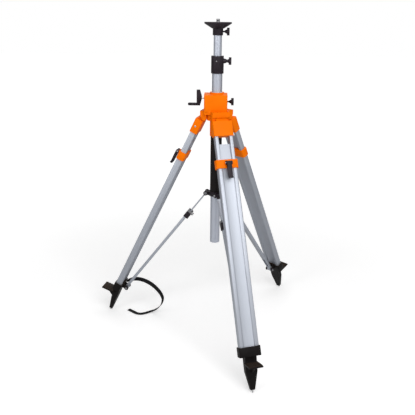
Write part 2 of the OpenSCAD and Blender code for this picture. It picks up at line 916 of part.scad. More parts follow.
// The stud's flange and shank hold it in the plate, and a relief and a recess leave its free end clear
module head_stud() {
    flange_z = plate_top_z - stud_bed - stud_flange;
    free_z = plate_top_z + stud_relief;
    chamfer_z = plate_top_z + stud_h - stud_chamfer;
    color(steel) {
        translate([0, 0, flange_z])
            cylinder(d = stud_flange_d, h = stud_flange - seat_gap);
        translate([0, 0, flange_z])
            cylinder(d = stud_shank_d, h = chamfer_z - flange_z);
        translate([0, 0, free_z])
            cylinder(d = stud_d, h = chamfer_z - free_z);
        translate([0, 0, chamfer_z])
            cylinder(d1 = stud_d, d2 = stud_d - 2 * stud_chamfer, h = stud_chamfer);
    }
}

// Drive

// A point of an involute at a radius, turned back so that the tooth's centre is at zero
function involute_angle(base_r, radius) =
    let (roll = sqrt(pow(radius / base_r, 2) - 1))
    roll * 180 / PI - atan(roll);

function pinion_half_angle(base_r, radius) =
    (tooth_pitch - gear_play) / 4 / pinion_pitch_r * 180 / PI
    + involute_angle(base_r, pinion_pitch_r)
    - involute_angle(base_r, max(radius, base_r));

module pinion_outline() {
    base_r = pinion_pitch_r * cos(pressure_angle);
    root_r = pinion_pitch_r - dedendum;
    tip_r = pinion_pitch_r + addendum;
    heights = [for (step = [0:flank_steps]) root_r + (tip_r - root_r) * step / flank_steps];
    polygon([
        for (tooth = [0:pinion_teeth - 1])
            for (side = sides)
                for (step = [0:flank_steps])
                    let (
                        radius = side < 0 ? heights[step] : heights[flank_steps - step],
                        angle = tooth * 360 / pinion_teeth + side * pinion_half_angle(base_r, radius)
                    )
                    [radius * cos(angle), radius * sin(angle)]
    ]);
}

module pinion_shaft() {
    end_x = housing_right - housing_wall - free_gap;
    color(steel)
        translate([0, pinion_y, shaft_z]) {
            translate([crank_x - crank_hub_t / 2, 0, 0])
                along_x()
                    cylinder(d = shaft_d, h = end_x - crank_x + crank_hub_t / 2);
            // One tooth points at the rack
            rotate([0, 90, 0])
                rotate([0, 0, -90])
                    translate([0, 0, -pinion_w / 2])
                        linear_extrude(pinion_w)
                            pinion_outline();
        }
}

module crank_arm() {
    half = crank_length / 2;
    hub_half = crank_length * crank_hub_share / 2;
    outer_x = crank_x - crank_hub_t;
    color(black)
        translate([0, pinion_y, shaft_z]) {
            difference() {
                side_plate(crank_w, [
                    [outer_x, -half],
                    [outer_x + crank_end_t, -half],
                    [crank_x, -hub_half],
                    [crank_x, hub_half],
                    [outer_x + crank_end_t, half],
                    [outer_x, half]
                ]);
                translate([crank_x - crank_hub_t / 2 - seat_gap, 0, 0])
                    along_x()
                        cylinder(d = shaft_d + 2 * seat_gap, h = crank_hub_t);
            }
            translate([grip_start_x - grip_length - free_gap - running_gap, 0, -crank_throw])
                along_x()
                    cylinder(d = spindle_d, h = grip_length + spindle_seat);
            translate([grip_start_x - grip_length - 2 * free_gap - spindle_head, 0, -crank_throw])
                along_x()
                    cylinder(d = spindle_head_d, h = spindle_head);
            translate([grip_start_x - grip_length - 2 * free_gap - spindle_head / 2, 0, -crank_throw])
                along_x()
                    cylinder(d = spindle_d, h = spindle_seat);
        }
}

module crank_grip() {
    color(black)
        translate([grip_start_x - free_gap - grip_length, pinion_y, shaft_z - crank_throw])
            along_x()
                tube(grip_d, spindle_d + 2 * running_gap, grip_length);
}

module column_knob() {
    start_x = column_r + pad_t + seat_gap;
    color(black)
        translate([start_x, 0, column_knob_z])
            along_x()
                knob(housing_right + column_knob_out - start_x);
}

module sleeve_knob() {
    start_x = inner_d / 2 + screw_stop;
    color(black)
        translate([start_x, 0, sleeve_screw_z])
            along_x()
                knob(sleeve_d / 2 + sleeve_boss + free_gap - start_x);
}

module head_knob() {
    start_x = inner_d / 2 + screw_stop;
    color(black)
        translate([start_x, 0, head_screw_z])
            along_x()
                knob(head_collar_d / 2 + head_knob_out - start_x);
}

// Legs

// The outline of the lower leg: two side channels and the panel between them
module profile_outline(grow) {
    for (side = sides)
        translate([0, side * channel_y])
            rounded(profile_depth + 2 * grow, channel_w + 2 * grow, channel_r);
    square([panel_depth + 2 * grow, profile_w - channel_w], center = true);
}

// The hollow of the lower leg
module profile_hollow() {
    for (side = sides)
        translate([0, side * channel_y])
            rounded(profile_depth - 2 * profile_wall, channel_w - 2 * profile_wall, rail_r);
    square([panel_room, profile_w - channel_w], center = true);
}

// The upper leg's rails, grown for a fit
module rail_outline(grow) {
    for (side = sides)
        translate([0, side * channel_y])
            rounded(rail_depth + 2 * grow, rail_w + 2 * grow, rail_r);
}

module rail_web_outline(grow) {
    square([rail_web + 2 * grow, 2 * channel_y - rail_w + profile_wall], center = true);
}

module leg_cap(azimuth) {
    outer_x = leg_offset + cap_depth / 2;
    inner_x = leg_offset - cap_depth / 2;
    color(orange)
        at_leg(azimuth)
            difference() {
                union() {
                    leg_run(cap_top, cap_bottom)
                        rounded(cap_depth, cap_w, cap_r);
                    side_plate(tongue_w, [
                        [-tongue_r, 0],
                        [tongue_r, 0],
                        [outer_x, -cap_top - cap_r],
                        [inner_x, -cap_top - cap_r]
                    ]);
                    across(2 * tongue_r, tongue_w);
                }
                leg_run(rail_top - seat_gap, cap_bottom + cut)
                    rail_outline(seat_gap);
                across(hinge_pin_d + 2 * running_gap, tongue_w + 2 * cut);
            }
}

module leg_rails(azimuth) {
    color(aluminium)
        at_leg(azimuth) {
            leg_run(rail_top, rail_bottom)
                difference() {
                    rail_outline(0);
                    rail_outline(-profile_wall);
                }
            leg_run(rail_web_top, rail_bottom)
                rail_web_outline(0);
        }
}

module leg_profile(azimuth) {
    color(aluminium)
        at_leg(azimuth)
            leg_run(profile_top, profile_bottom)
                difference() {
                    profile_outline(0);
                    profile_hollow();
                }
}

module leg_clamp(azimuth) {
    face_x = leg_offset + clamp_depth / 2;
    color(orange)
        at_leg(azimuth) {
            difference() {
                leg_run(clamp_top, clamp_top + clamp_h)
                    rounded(clamp_depth, clamp_w, clamp_r);
                leg_run(clamp_top - cut, profile_top) {
                    rail_outline(free_gap);
                    rail_web_outline(free_gap);
                }
                leg_run(profile_top - seat_gap, clamp_top + clamp_h + cut)
                    profile_outline(seat_gap);
            }
            for (side = sides)
                translate([0, lever_side + side * (lever_w / 2 + free_gap + lever_ear_t / 2), -lever_pin_t])
                    difference() {
                        union() {
                            translate([lever_pin_x, 0, 0])
                                across(2 * lever_hub_r, lever_ear_t);
                            translate([face_x - profile_wall, -lever_ear_t / 2, -lever_hub_r])
                                cube([lever_pin_x - face_x + profile_wall, lever_ear_t, 2 * lever_hub_r]);
                        }
                        translate([lever_pin_x, 0, 0])
                            across(lever_pin_d + 2 * running_gap, lever_ear_t + 2 * cut);
                    }
        }
}

module clamp_lever(azimuth) {
    color(black)
        at_leg(azimuth)
            translate([lever_pin_x, lever_side, -lever_pin_t]) {
                difference() {
                    union() {
                        across(2 * lever_hub_r, lever_w);
                        side_plate(lever_w, [
                            [-lever_blade / 2, 0],
                            [lever_hub_r, 0],
                            [lever_blade, -lever_hub_r],
                            [lever_blade, -lever_length + lever_blade],
                            [lever_blade + lever_flare, -lever_length],
                            [0, -lever_length],
                            [-lever_flare, -lever_length + lever_blade]
                        ]);
                    }
                    across(lever_pin_d + 2 * seat_gap, lever_w + 2 * cut);
                }
                across(lever_pin_d, lever_w + 2 * (free_gap + lever_ear_t));
            }
}

module foot(azimuth) {
    half_w = foot_body_w / 2;
    half_end = foot_end_w / 2;
    half_depth = foot_depth * foot_top_share / 2;
    straight_t = foot_body_t + foot_straight;
    color(black)
        at_leg(azimuth) {
            difference() {
                union() {
                    leg_run(foot_top, foot_body_t)
                        rounded(foot_depth, foot_w, cap_r);
                    intersection() {
                        translate([leg_offset - foot_depth, 0, 0])
                            rotate([90, 0, 90])
                                linear_extrude(2 * foot_depth)
                                    polygon([
                                        [-half_w, -foot_body_t + cap_r],
                                        [half_w, -foot_body_t + cap_r],
                                        [half_w, -straight_t],
                                        [half_end, -foot_end_t],
                                        [-half_end, -foot_end_t],
                                        [-half_w, -straight_t]
                                    ]);
                        side_plate(foot_w, [
                            [leg_offset - half_depth, -foot_body_t + cap_r],
                            [leg_offset + half_depth, -foot_body_t + cap_r],
                            [tip_x + foot_end_depth / 2, -foot_end_t],
                            [tip_x - foot_end_depth / 2, -foot_end_t]
                        ]);
                    }
                    translate([leg_offset, 0, -pedal_top_t])
                        rotate([0, pedal_tilt, 0]) {
                            translate([0, -pedal_w / 2, -pedal_t])
                                cube([pedal_out, pedal_w, pedal_t]);
                            for (rib = [1:pedal_ribs])
                                translate([
                                    half_depth + (pedal_out - half_depth) * rib / (pedal_ribs + 1),
                                    -pedal_w / 2,
                                    -cut
                                ])
                                    cube([pedal_rib_h, pedal_w, pedal_rib_h + cut]);
                            side_plate(gusset_t, [
                                [0, -pedal_t / 2],
                                [pedal_out * gusset_share, -pedal_t / 2],
                                [half_depth, -gusset_drop],
                                [0, -gusset_drop]
                            ]);
                        }
                    translate([lug_x, 0, -lug_t])
                        strut_cheeks(strut_channel_w, lug_out - foot_depth / 2 + cap_r / 2);
                }
                leg_run(foot_top - cut, profile_bottom + seat_gap)
                    profile_outline(seat_gap);
                translate([tip_x, 0, -foot_end_t - cut])
                    cylinder(d = tip_d + 2 * seat_gap, h = tip_seat + seat_gap + cut);
            }
        }
}

module foot_tip(azimuth) {
    point_t = leg_length;
    color(steel)
        at_leg(azimuth)
            translate([tip_x, 0, -point_t])
                rotate_extrude()
                    polygon(concat(
                        [for (step = [0:corner_steps]) tip_ball_r * [
                            sin(90 * step / corner_steps), -cos(90 * step / corner_steps)
                        ]],
                        [
                            [tip_d / 2, point_t - foot_end_t - tip_ball_r],
                            [tip_d / 2, point_t - foot_end_t + tip_seat],
                            [0, point_t - foot_end_t + tip_seat]
                        ]
                    ));
}

// Struts

module upper_strut_pin(azimuth) {
    color(steel)
        rotate([0, 0, azimuth])
            translate([ring_pin_r, 0, ring_pin_z])
                strut_pin(bar_w);
}

module lower_strut_pin(azimuth) {
    color(steel)
        at_leg(azimuth)
            translate([lug_x, 0, -lug_t])
                strut_pin(strut_channel_w);
}

module strut_bar(azimuth) {
    color(aluminium)
        at_strut(azimuth)
            difference() {
                union() {
                    across(2 * strut_eye_r, bar_w);
                    translate([-bar_t / 2, -bar_w / 2, -bar_length])
                        cube([bar_t, bar_w, bar_length]);
                }
                across(strut_pin_d + 2 * running_gap, bar_w + 2 * cut);
            }
}

module strut_channel(azimuth) {
    start = coupling_top + coupling_length - coupling_seat;
    end = strut_length - 2 * strut_eye_r;
    back_x = strut_back_x + strut_wall;
    half_w = strut_channel_w / 2;
    color(aluminium)
        at_strut(azimuth)
            difference() {
                union() {
                    translate([-bar_t / 2, -half_w, -strut_length + strut_eye_r / 2])
                        cube([back_x + bar_t / 2, strut_channel_w, strut_length - strut_eye_r / 2 - start]);
                    translate([0, 0, -strut_length])
                        across(2 * strut_eye_r, strut_channel_w);
                }
                translate([-bar_t / 2 - cut, -bar_w / 2 - free_gap, -end])
                    cube([strut_back_x + bar_t / 2 + cut, bar_w + 2 * free_gap, strut_length]);
                translate([0, 0, -strut_length])
                    across(strut_pin_d + 2 * running_gap, strut_channel_w + 2 * cut);
            }
}

module strut_coupling(azimuth) {
    wall_x = coupling_in_x - coupling_wall;
    screw_t = coupling_top + coupling_length * coupling_screw_share;
    color(black)
        at_strut(azimuth)
            difference() {
                translate([wall_x, -coupling_w / 2, -coupling_top - coupling_length])
                    cube([coupling_out_x - wall_x, coupling_w, coupling_length]);
                translate([coupling_in_x, -bar_w / 2 - free_gap, -coupling_top - coupling_length - cut])
                    cube([strut_back_x - coupling_in_x, bar_w + 2 * free_gap, coupling_length + 2 * cut]);
                translate([
                    -bar_t / 2 - seat_gap,
                    -strut_channel_w / 2 - seat_gap,
                    -coupling_top - coupling_length - cut
                ])
                    cube([
                        strut_back_x + strut_wall + bar_t / 2 + 2 * seat_gap,
                        strut_channel_w + 2 * seat_gap,
                        coupling_seat + cut + seat_gap
                    ]);
                translate([wall_x - cut, 0, -screw_t])
                    along_x()
                        cylinder(d = coupling_screw_d + 2 * running_gap, h = coupling_wall + 2 * cut);
            }
}

module coupling_screw(azimuth) {
    screw_t = coupling_top + coupling_length * coupling_screw_share;
    head_x = coupling_in_x - coupling_wall - free_gap - coupling_screw_head;
    color(steel)
        at_strut(azimuth)
            translate([head_x, 0, -screw_t])
                along_x() {
                    cylinder(d = coupling_screw_head_d, h = coupling_screw_head);
                    cylinder(
                        d = coupling_screw_d,
                        h = coupling_screw_head + free_gap + coupling_wall - bar_inset
                    );
                }
}

// Strap

// A smooth curve through the strap's route
function curve_point(a, b, c, d, share) =
    let (s2 = share * share, s3 = s2 * share)
    (2 * b + (c - a) * share + (2 * a - 5 * b + 4 * c - d) * s2 + (3 * b - a - 3 * c + d) * s3) / 2;

function route_point(index) = strap_route[max(0, min(len(strap_route) - 1, index))];

function unit(vector) = vector / norm(vector);

module carry_strap() {
    last = len(strap_route) - 2;
    path = concat(
        [
            for (index = [0:last])
                for (step = [0:strap_steps - 1])
                    curve_point(
                        route_point(index - 1),
                        route_point(index),
                        route_point(index + 1),
                        route_point(index + 2),
                        step / strap_steps
                    )
        ],
        [route_point(last + 1)]
    );
    rolls = concat(
        [
            for (index = [0:last])
                for (step = [0:strap_steps - 1])
                    strap_rolls[index] + (strap_rolls[index + 1] - strap_rolls[index]) * step / strap_steps
        ],
        [strap_rolls[last + 1]]
    );
    rings = len(path);
    half_w = strap_w / 2;
    half_t = strap_t / 2;
    edge = half_t * strap_edge_share;
    // The webbing's section: width, then thickness
    section = [
        [half_w, -edge], [half_w, edge], [half_w - edge, half_t], [edge - half_w, half_t],
        [-half_w, edge], [-half_w, -edge], [edge - half_w, -half_t], [half_w - edge, -half_t]
    ];
    count = len(section);
    points = [
        for (ring = [0:rings - 1])
            let (
                along = unit(path[min(ring + 1, rings - 1)] - path[max(ring - 1, 0)]),
                level = unit([0, 1, 0] - along * along.y),
                raised = cross(along, level),
                wide = level * cos(rolls[ring]) + raised * sin(rolls[ring]),
                thick = cross(along, wide)
            )
            for (corner = section)
                path[ring] + corner[0] * wide + corner[1] * thick
    ];
    walls = [
        for (ring = [0:rings - 2])
            for (corner = [0:count - 1])
                let (
                    a = ring * count + corner,
                    b = ring * count + (corner + 1) % count
                )
                each [[a, b, b + count], [a, b + count, a + count]]
    ];
    caps = [
        for (corner = [1:count - 2])
            each [
                [0, corner + 1, corner],
                [(rings - 1) * count, (rings - 1) * count + corner, (rings - 1) * count + corner + 1]
            ]
    ];
    color(black)
        polyhedron(points, concat(walls, caps));
}

gear_housing();
tripod_base();
housing_bushes();
guide_tube();
strut_ring();
base_screws();
leg_hinge_pins();
column_tube();
column_rack();
column_sleeve();
inner_tube();
inner_tube_plugs();
head_plate();
head_stud();
pinion_shaft();
crank_arm();
crank_grip();
column_knob();
sleeve_knob();
head_knob();
carry_strap();
leg_cap(left);  // leg_cap_left
leg_cap(front);  // leg_cap_front
leg_cap(right);  // leg_cap_right
leg_rails(left);  // leg_rails_left
leg_rails(front);  // leg_rails_front
leg_rails(right);  // leg_rails_right
leg_profile(left);  // leg_profile_left
leg_profile(front);  // leg_profile_front
leg_profile(right);  // leg_profile_right
leg_clamp(left);  // leg_clamp_left
leg_clamp(front);  // leg_clamp_front
leg_clamp(right);  // leg_clamp_right
clamp_lever(left);  // clamp_lever_left
clamp_lever(front);  // clamp_lever_front
clamp_lever(right);  // clamp_lever_right
foot(left);  // foot_left
foot(front);  // foot_front
foot(right);  // foot_right
foot_tip(left);  // foot_tip_left
foot_tip(front);  // foot_tip_front
foot_tip(right);  // foot_tip_right
upper_strut_pin(left);  // upper_strut_pin_left
upper_strut_pin(front);  // upper_strut_pin_front
upper_strut_pin(right);  // upper_strut_pin_right
strut_bar(left);  // strut_bar_left
strut_bar(front);  // strut_bar_front
strut_bar(right);  // strut_bar_right
lower_strut_pin(left);  // lower_strut_pin_left
lower_strut_pin(front);  // lower_strut_pin_front
lower_strut_pin(right);  // lower_strut_pin_right
strut_channel(left);  // strut_channel_left
strut_channel(front);  // strut_channel_front
strut_channel(right);  // strut_channel_right
strut_coupling(left);  // strut_coupling_left
strut_coupling(front);  // strut_coupling_front
strut_coupling(right);  // strut_coupling_right
coupling_screw(left);  // coupling_screw_left
coupling_screw(front);  // coupling_screw_front
coupling_screw(right);  // coupling_screw_right
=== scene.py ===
import json
import math

import bmesh
import bpy
from mathutils import Matrix, Vector


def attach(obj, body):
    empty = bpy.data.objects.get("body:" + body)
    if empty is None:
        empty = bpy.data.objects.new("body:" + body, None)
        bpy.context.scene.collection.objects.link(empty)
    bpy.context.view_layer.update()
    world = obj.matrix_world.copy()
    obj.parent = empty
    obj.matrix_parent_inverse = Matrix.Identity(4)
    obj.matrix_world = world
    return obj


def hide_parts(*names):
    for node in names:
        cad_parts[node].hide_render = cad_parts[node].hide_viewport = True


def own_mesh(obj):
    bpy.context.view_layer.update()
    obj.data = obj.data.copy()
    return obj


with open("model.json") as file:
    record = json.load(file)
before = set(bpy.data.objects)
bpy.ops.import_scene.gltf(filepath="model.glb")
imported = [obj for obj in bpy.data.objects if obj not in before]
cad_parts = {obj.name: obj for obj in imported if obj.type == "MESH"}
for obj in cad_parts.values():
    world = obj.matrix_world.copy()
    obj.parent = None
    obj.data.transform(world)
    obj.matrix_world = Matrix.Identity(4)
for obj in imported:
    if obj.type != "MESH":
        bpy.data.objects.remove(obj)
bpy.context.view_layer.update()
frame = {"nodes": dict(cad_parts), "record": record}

bl_info = {
    "name": "Elevating tripod",
    "version": (1, 0, 0),
    "blender": (4, 5, 0),
    "location": "View3D > Sidebar > Tripod",
    "description": "Dresses a geared elevating tripod in its castings, tubes, fittings and strap",
    "category": "Object",
}

LEGS = ("left", "front", "right")
SIDES = (-1, 1)
BODY_OF = {
    node: body
    for body, nodes in frame["record"]["behaviour"]["bodies"].items()
    for node in nodes
}

# The strap's route in metres, from the left foot's collar behind the strut to the floor
STRAP_ROUTE = (
    (-0.455, 0.132, 0.164), (-0.416, 0.119, 0.183), (-0.370, 0.108, 0.184), (-0.324, 0.096, 0.167),
    (-0.284, 0.078, 0.138), (-0.263, 0.065, 0.105), (-0.268, 0.066, 0.071), (-0.286, 0.079, 0.040),
    (-0.309, 0.092, 0.017), (-0.334, 0.094, 0.006), (-0.357, 0.083, 0.003), (-0.378, 0.075, 0.003),
    (-0.400, 0.078, 0.003), (-0.424, 0.096, 0.003), (-0.450, 0.117, 0.003),
)
# Roll of the webbing about its route at each of these points, in degrees
STRAP_ROLLS = (10, 46, 52, 50, 42, 32, 22, 12, 6, 0, 0, 0, 0, 0, 0)

# Points closer than this are one point
HAIR = 0.00001

# Faces count as facing a direction past this share of it
FACING_SHARE = 0.9

# Faces that turn less than this from each other are one flat face
FLAT_ANGLE = math.radians(0.5)

# Edges sharper than this are rounded
SHARP_ANGLE = math.radians(30)

# Edges flatter than these look smooth, on the solids and on the fittings
SMOOTH_ANGLE = math.radians(32)
FITTING_ANGLE = math.radians(35)

# Steps of a rounded edge, on castings and mouldings and on drawn profiles
CAST_SEGMENTS = 3
PROFILE_SEGMENTS = 2

# Corners around a round head and steps of its rim
HEAD_CORNERS = 24
RIM_SEGMENTS = 4

# Steps in one turn of the stud's thread
THREAD_STEPS = 32

# Steps between two points of the strap's route
STRAP_STEPS = 8

# Where each leg stands before the legs' common turn, in degrees
LEG_AZIMUTHS = {"left": 150, "front": -90, "right": 30}


# Settings

class TripodFinishes(bpy.types.PropertyGroup):
    """Colours of the tripod's finishes"""

    orange: bpy.props.FloatVectorProperty(
        name="Orange coat", description="Powder coat of the castings",
        subtype="COLOR", default=(1.0, 0.195, 0.0),
    )
    tube_aluminium: bpy.props.FloatVectorProperty(
        name="Tube aluminium", description="Satin anodised tubes",
        subtype="COLOR", default=(0.53, 0.56, 0.635),
    )
    leg_aluminium: bpy.props.FloatVectorProperty(
        name="Leg aluminium", description="Anodised leg and strut profiles",
        subtype="COLOR", default=(0.42, 0.445, 0.495),
    )
    black: bpy.props.FloatVectorProperty(
        name="Black plastic", description="Moulded knobs, levers and head",
        subtype="COLOR", default=(0.019, 0.014, 0.019),
    )
    foot_black: bpy.props.FloatVectorProperty(
        name="Foot black", description="Moulded feet and pedals",
        subtype="COLOR", default=(0.005, 0.004, 0.004),
    )
    # Top light: colour painted on the pedals' top faces as painted light from above
    foot_top_light: bpy.props.FloatVectorProperty(
        name="Foot wear", description="Scuffed tops of the pedals",
        subtype="COLOR", default=(0.030, 0.019, 0.013),
    )
    tube_black: bpy.props.FloatVectorProperty(
        name="Black tube", description="Coat of the guide tube",
        subtype="COLOR", default=(0.007, 0.005, 0.005),
    )
    steel: bpy.props.FloatVectorProperty(
        name="Steel", description="Plated screws and tips",
        subtype="COLOR", default=(0.62, 0.62, 0.63),
    )
    pin_steel: bpy.props.FloatVectorProperty(
        name="Pin steel", description="Dull pins of the struts",
        subtype="COLOR", default=(0.26, 0.26, 0.27),
    )
    nylon: bpy.props.FloatVectorProperty(
        name="Nylon", description="Bushes and plugs", subtype="COLOR", default=(0.75, 0.73, 0.68)
    )
    webbing: bpy.props.FloatVectorProperty(
        name="Webbing", description="Woven carry strap",
        subtype="COLOR", default=(0.006, 0.006, 0.007),
    )


class TripodSizes(bpy.types.PropertyGroup):
    """Places and sizes of the dressed pieces"""

    leg_lean: bpy.props.FloatProperty(
        name="Leg lean", description="Lean of a leg from upright",
        subtype="ANGLE", default=math.radians(26),
    )
    leg_turn: bpy.props.FloatProperty(
        name="Leg turn", description="Turn of the front leg from -Y towards +X", subtype="ANGLE",
        default=math.radians(17.5),
    )
    hinge_radius: bpy.props.FloatProperty(
        name="Hinge radius", description="Distance of a hinge pin from the column's axis",
        unit="LENGTH", default=0.050,
    )
    hinge_height: bpy.props.FloatProperty(
        name="Hinge height", description="Height of the hinge pins", unit="LENGTH", default=1.05223
    )
    strut_lean: bpy.props.FloatProperty(
        name="Strut lean", description="Lean of a strut from upright",
        subtype="ANGLE", default=math.radians(37.124),
    )
    ring_radius: bpy.props.FloatProperty(
        name="Ring radius", description="Distance of a strut's upper pin from the axis",
        unit="LENGTH", default=0.043,
    )
    ring_height: bpy.props.FloatProperty(
        name="Ring height", description="Height of the struts' upper pins",
        unit="LENGTH", default=0.69723,
    )
    strut_length: bpy.props.FloatProperty(
        name="Strut length", description="Distance between a strut's two pins",
        unit="LENGTH", default=0.68894,
    )
    pin_end_radius: bpy.props.FloatProperty(
        name="Pin end radius", description="Radius of a strut pin's bright end",
        unit="LENGTH", default=0.0068,
    )
    bar_end: bpy.props.FloatProperty(
        name="Bar end", description="Length of a bar's black end below the upper pin",
        unit="LENGTH", default=0.017,
    )
    coupling_down: bpy.props.FloatProperty(
        name="Coupling down", description="Distance of a coupling below the upper pin",
        unit="LENGTH", default=0.122,
    )
    coupling_bare: bpy.props.FloatProperty(
        name="Coupling bare", description="Length of a coupling's bare upper end",
        unit="LENGTH", default=0.010,
    )
    casting_edge: bpy.props.FloatProperty(
        name="Casting edge", description="Rounding of the cast edges", unit="LENGTH", default=0.0016
    )
    moulding_edge: bpy.props.FloatProperty(
        name="Moulding edge", description="Rounding of the moulded edges",
        unit="LENGTH", default=0.0010,
    )
    profile_edge: bpy.props.FloatProperty(
        name="Profile edge", description="Rounding of the drawn profiles' edges",
        unit="LENGTH", default=0.0005,
    )
    strap_width: bpy.props.FloatProperty(
        name="Strap width", description="Width of the webbing", unit="LENGTH", default=0.020
    )
    strap_thickness: bpy.props.FloatProperty(
        name="Strap thickness", description="Thickness of the webbing",
        unit="LENGTH", default=0.0024,
    )


class TripodFittings(bpy.types.PropertyGroup):
    """Places and sizes of the small fittings"""

    screw_radius: bpy.props.FloatProperty(
        name="Screw radius", description="Radius of a screw's head", unit="LENGTH", default=0.0042
    )
    screw_height: bpy.props.FloatProperty(
        name="Screw height", description="Height of a screw's head", unit="LENGTH", default=0.0024
    )
    cap_screw_out: bpy.props.FloatProperty(
        name="Cap screw out", description="Distance of a cap's screw outside the hinge pin",
        unit="LENGTH", default=0.015,
    )
    cap_screw_down: bpy.props.FloatProperty(
        name="Cap screw down", description="Distance of a cap's screw down the leg",
        unit="LENGTH", default=0.051,
    )
    cap_half_width: bpy.props.FloatProperty(
        name="Cap half width", description="Half the width of a leg's cap",
        unit="LENGTH", default=0.0445,
    )
    lever_pin_out: bpy.props.FloatProperty(
        name="Lever pin out", description="Distance of a lever's pin outside the hinge pin",
        unit="LENGTH", default=0.0435,
    )
    lever_pin_down: bpy.props.FloatProperty(
        name="Lever pin down", description="Distance of a lever's pin down the leg",
        unit="LENGTH", default=0.20365,
    )
    lever_side: bpy.props.FloatProperty(
        name="Lever side", description="Distance of a lever beside the leg's middle",
        unit="LENGTH", default=0.002,
    )
    lever_half_width: bpy.props.FloatProperty(
        name="Lever half width", description="Half a lever's width with its gap",
        unit="LENGTH", default=0.0104,
    )
    hub_radius: bpy.props.FloatProperty(
        name="Hub radius", description="Radius of the covers beside a lever's hub",
        unit="LENGTH", default=0.0085,
    )
    hub_length: bpy.props.FloatProperty(
        name="Hub length", description="Length of the covers beside a lever's hub",
        unit="LENGTH", default=0.0044,
    )
    sleeve_radius: bpy.props.FloatProperty(
        name="Sleeve radius", description="Radius of the column's sleeve",
        unit="LENGTH", default=0.02725,
    )
    sleeve_screw_height: bpy.props.FloatProperty(
        name="Sleeve screw height", description="Height of the sleeve's screw",
        unit="LENGTH", default=1.29306,
    )
    sleeve_screw_turn: bpy.props.FloatProperty(
        name="Sleeve screw turn", description="Place of the sleeve's screw about the axis",
        subtype="ANGLE", default=math.radians(-98),
    )
    stud_radius: bpy.props.FloatProperty(
        name="Stud radius", description="Radius of the head's stud over its thread",
        unit="LENGTH", default=0.0079375,
    )
    stud_pitch: bpy.props.FloatProperty(
        name="Stud pitch", description="Rise of the stud's thread in one turn",
        unit="LENGTH", default=0.00231,
    )
    stud_foot: bpy.props.FloatProperty(
        name="Stud foot", description="Height of the plate that the stud stands on",
        unit="LENGTH", default=1.45123,
    )
    stud_height: bpy.props.FloatProperty(
        name="Stud height", description="Height of the stud over its plate",
        unit="LENGTH", default=0.013,
    )


class TripodView(bpy.types.PropertyGroup):
    """Where the camera stands"""

    distance: bpy.props.FloatProperty(
        name="Distance", description="Camera's distance in front of the column",
        unit="LENGTH", default=2.397,
    )
    height: bpy.props.FloatProperty(
        name="Height", description="Camera's height", unit="LENGTH", default=1.472
    )
    pitch: bpy.props.FloatProperty(
        name="Pitch", description="Camera's tilt down", subtype="ANGLE", default=math.radians(19.47)
    )
    yaw: bpy.props.FloatProperty(
        name="Yaw", description="Camera's turn to the left",
        subtype="ANGLE", default=math.radians(0.86),
    )
    roll: bpy.props.FloatProperty(
        name="Roll", description="Lean of the column's top to the right in the picture", subtype="ANGLE",
        default=math.radians(0.63),
    )
    lens: bpy.props.FloatProperty(
        name="Lens", description="Focal length on a 36 mm sensor",
        subtype="DISTANCE_CAMERA", default=46.84,
    )


# Shared steps

def deselect_all():
    """Leave edit mode and select nothing"""
    if bpy.context.object and bpy.context.object.mode != "OBJECT":
        bpy.ops.object.mode_set(mode="OBJECT")
    bpy.ops.object.select_all(action="DESELECT")


def choose(piece):
    """Select one piece and make it active"""
    deselect_all()
    piece.select_set(True)
    bpy.context.view_layer.objects.active = piece


def edit(piece):
    """Open one piece in edit mode, for its faces"""
    choose(piece)
    bpy.ops.object.mode_set(mode="EDIT")
    bpy.ops.mesh.select_mode(type="FACE")


def pick_faces(piece, wanted):
    """Select the faces that are wanted, in edit mode"""
    bpy.ops.mesh.select_all(action="DESELECT")
    shape = bmesh.from_edit_mesh(piece.data)
    shape.normal_update()
    for face in shape.faces:
        if wanted(face):
            face.select_set(True)
    shape.select_flush(True)
    bmesh.update_edit_mesh(piece.data)


def apply_place(piece):
    """Move a piece's place, turn and scale into its mesh"""
    choose(piece)
    bpy.ops.object.transform_apply(location=True, rotation=True, scale=True)


def another(piece, name):
    """A copy of a modelled piece with its own mesh"""
    double = piece.copy()
    double.data = piece.data.copy()
    double.name = name
    double.data.name = name
    bpy.context.scene.collection.objects.link(double)
    return double


def put_down(piece, place, finish, body):
    """Move a modelled piece to its place, give it its finish and let it ride on its body"""
    piece.matrix_world = place
    apply_place(piece)
    bpy.ops.object.shade_smooth_by_angle(angle=FITTING_ANGLE)
    piece.data.materials.clear()
    piece.data.materials.append(bpy.data.materials[finish])
    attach(piece, body)


def add_node(tree, kind, **values):
    """A shader node with its sockets or settings filled in"""
    made = tree.nodes.new(kind)
    for key, value in values.items():
        if key in made.inputs:
            made.inputs[key].default_value = value
        else:
            setattr(made, key, value)
    return made


def new_material(name):
    """A material with its node tree and its shader"""
    material = bpy.data.materials.new(name)
    material.use_nodes = True
    tree = material.node_tree
    shader = tree.nodes["Principled BSDF"]
    return material, tree, shader


def pattern(tree, space, scale, detail=2.0):
    """Cloudy noise in a space"""
    noise = add_node(tree, "ShaderNodeTexNoise", Scale=scale, Detail=detail)
    tree.links.new(space, noise.inputs["Vector"])
    return noise.outputs["Fac"]


def spread(tree, value, low, high):
    """Noise spread between two levels"""
    noise_low_share = 0.3
    noise_high_share = 0.7
    spanned = tree.nodes.new("ShaderNodeMapRange")
    spanned.inputs["From Min"].default_value = noise_low_share
    spanned.inputs["From Max"].default_value = noise_high_share
    spanned.inputs["To Min"].default_value = low
    spanned.inputs["To Max"].default_value = high
    tree.links.new(value, spanned.inputs["Value"])
    return spanned.outputs["Result"]


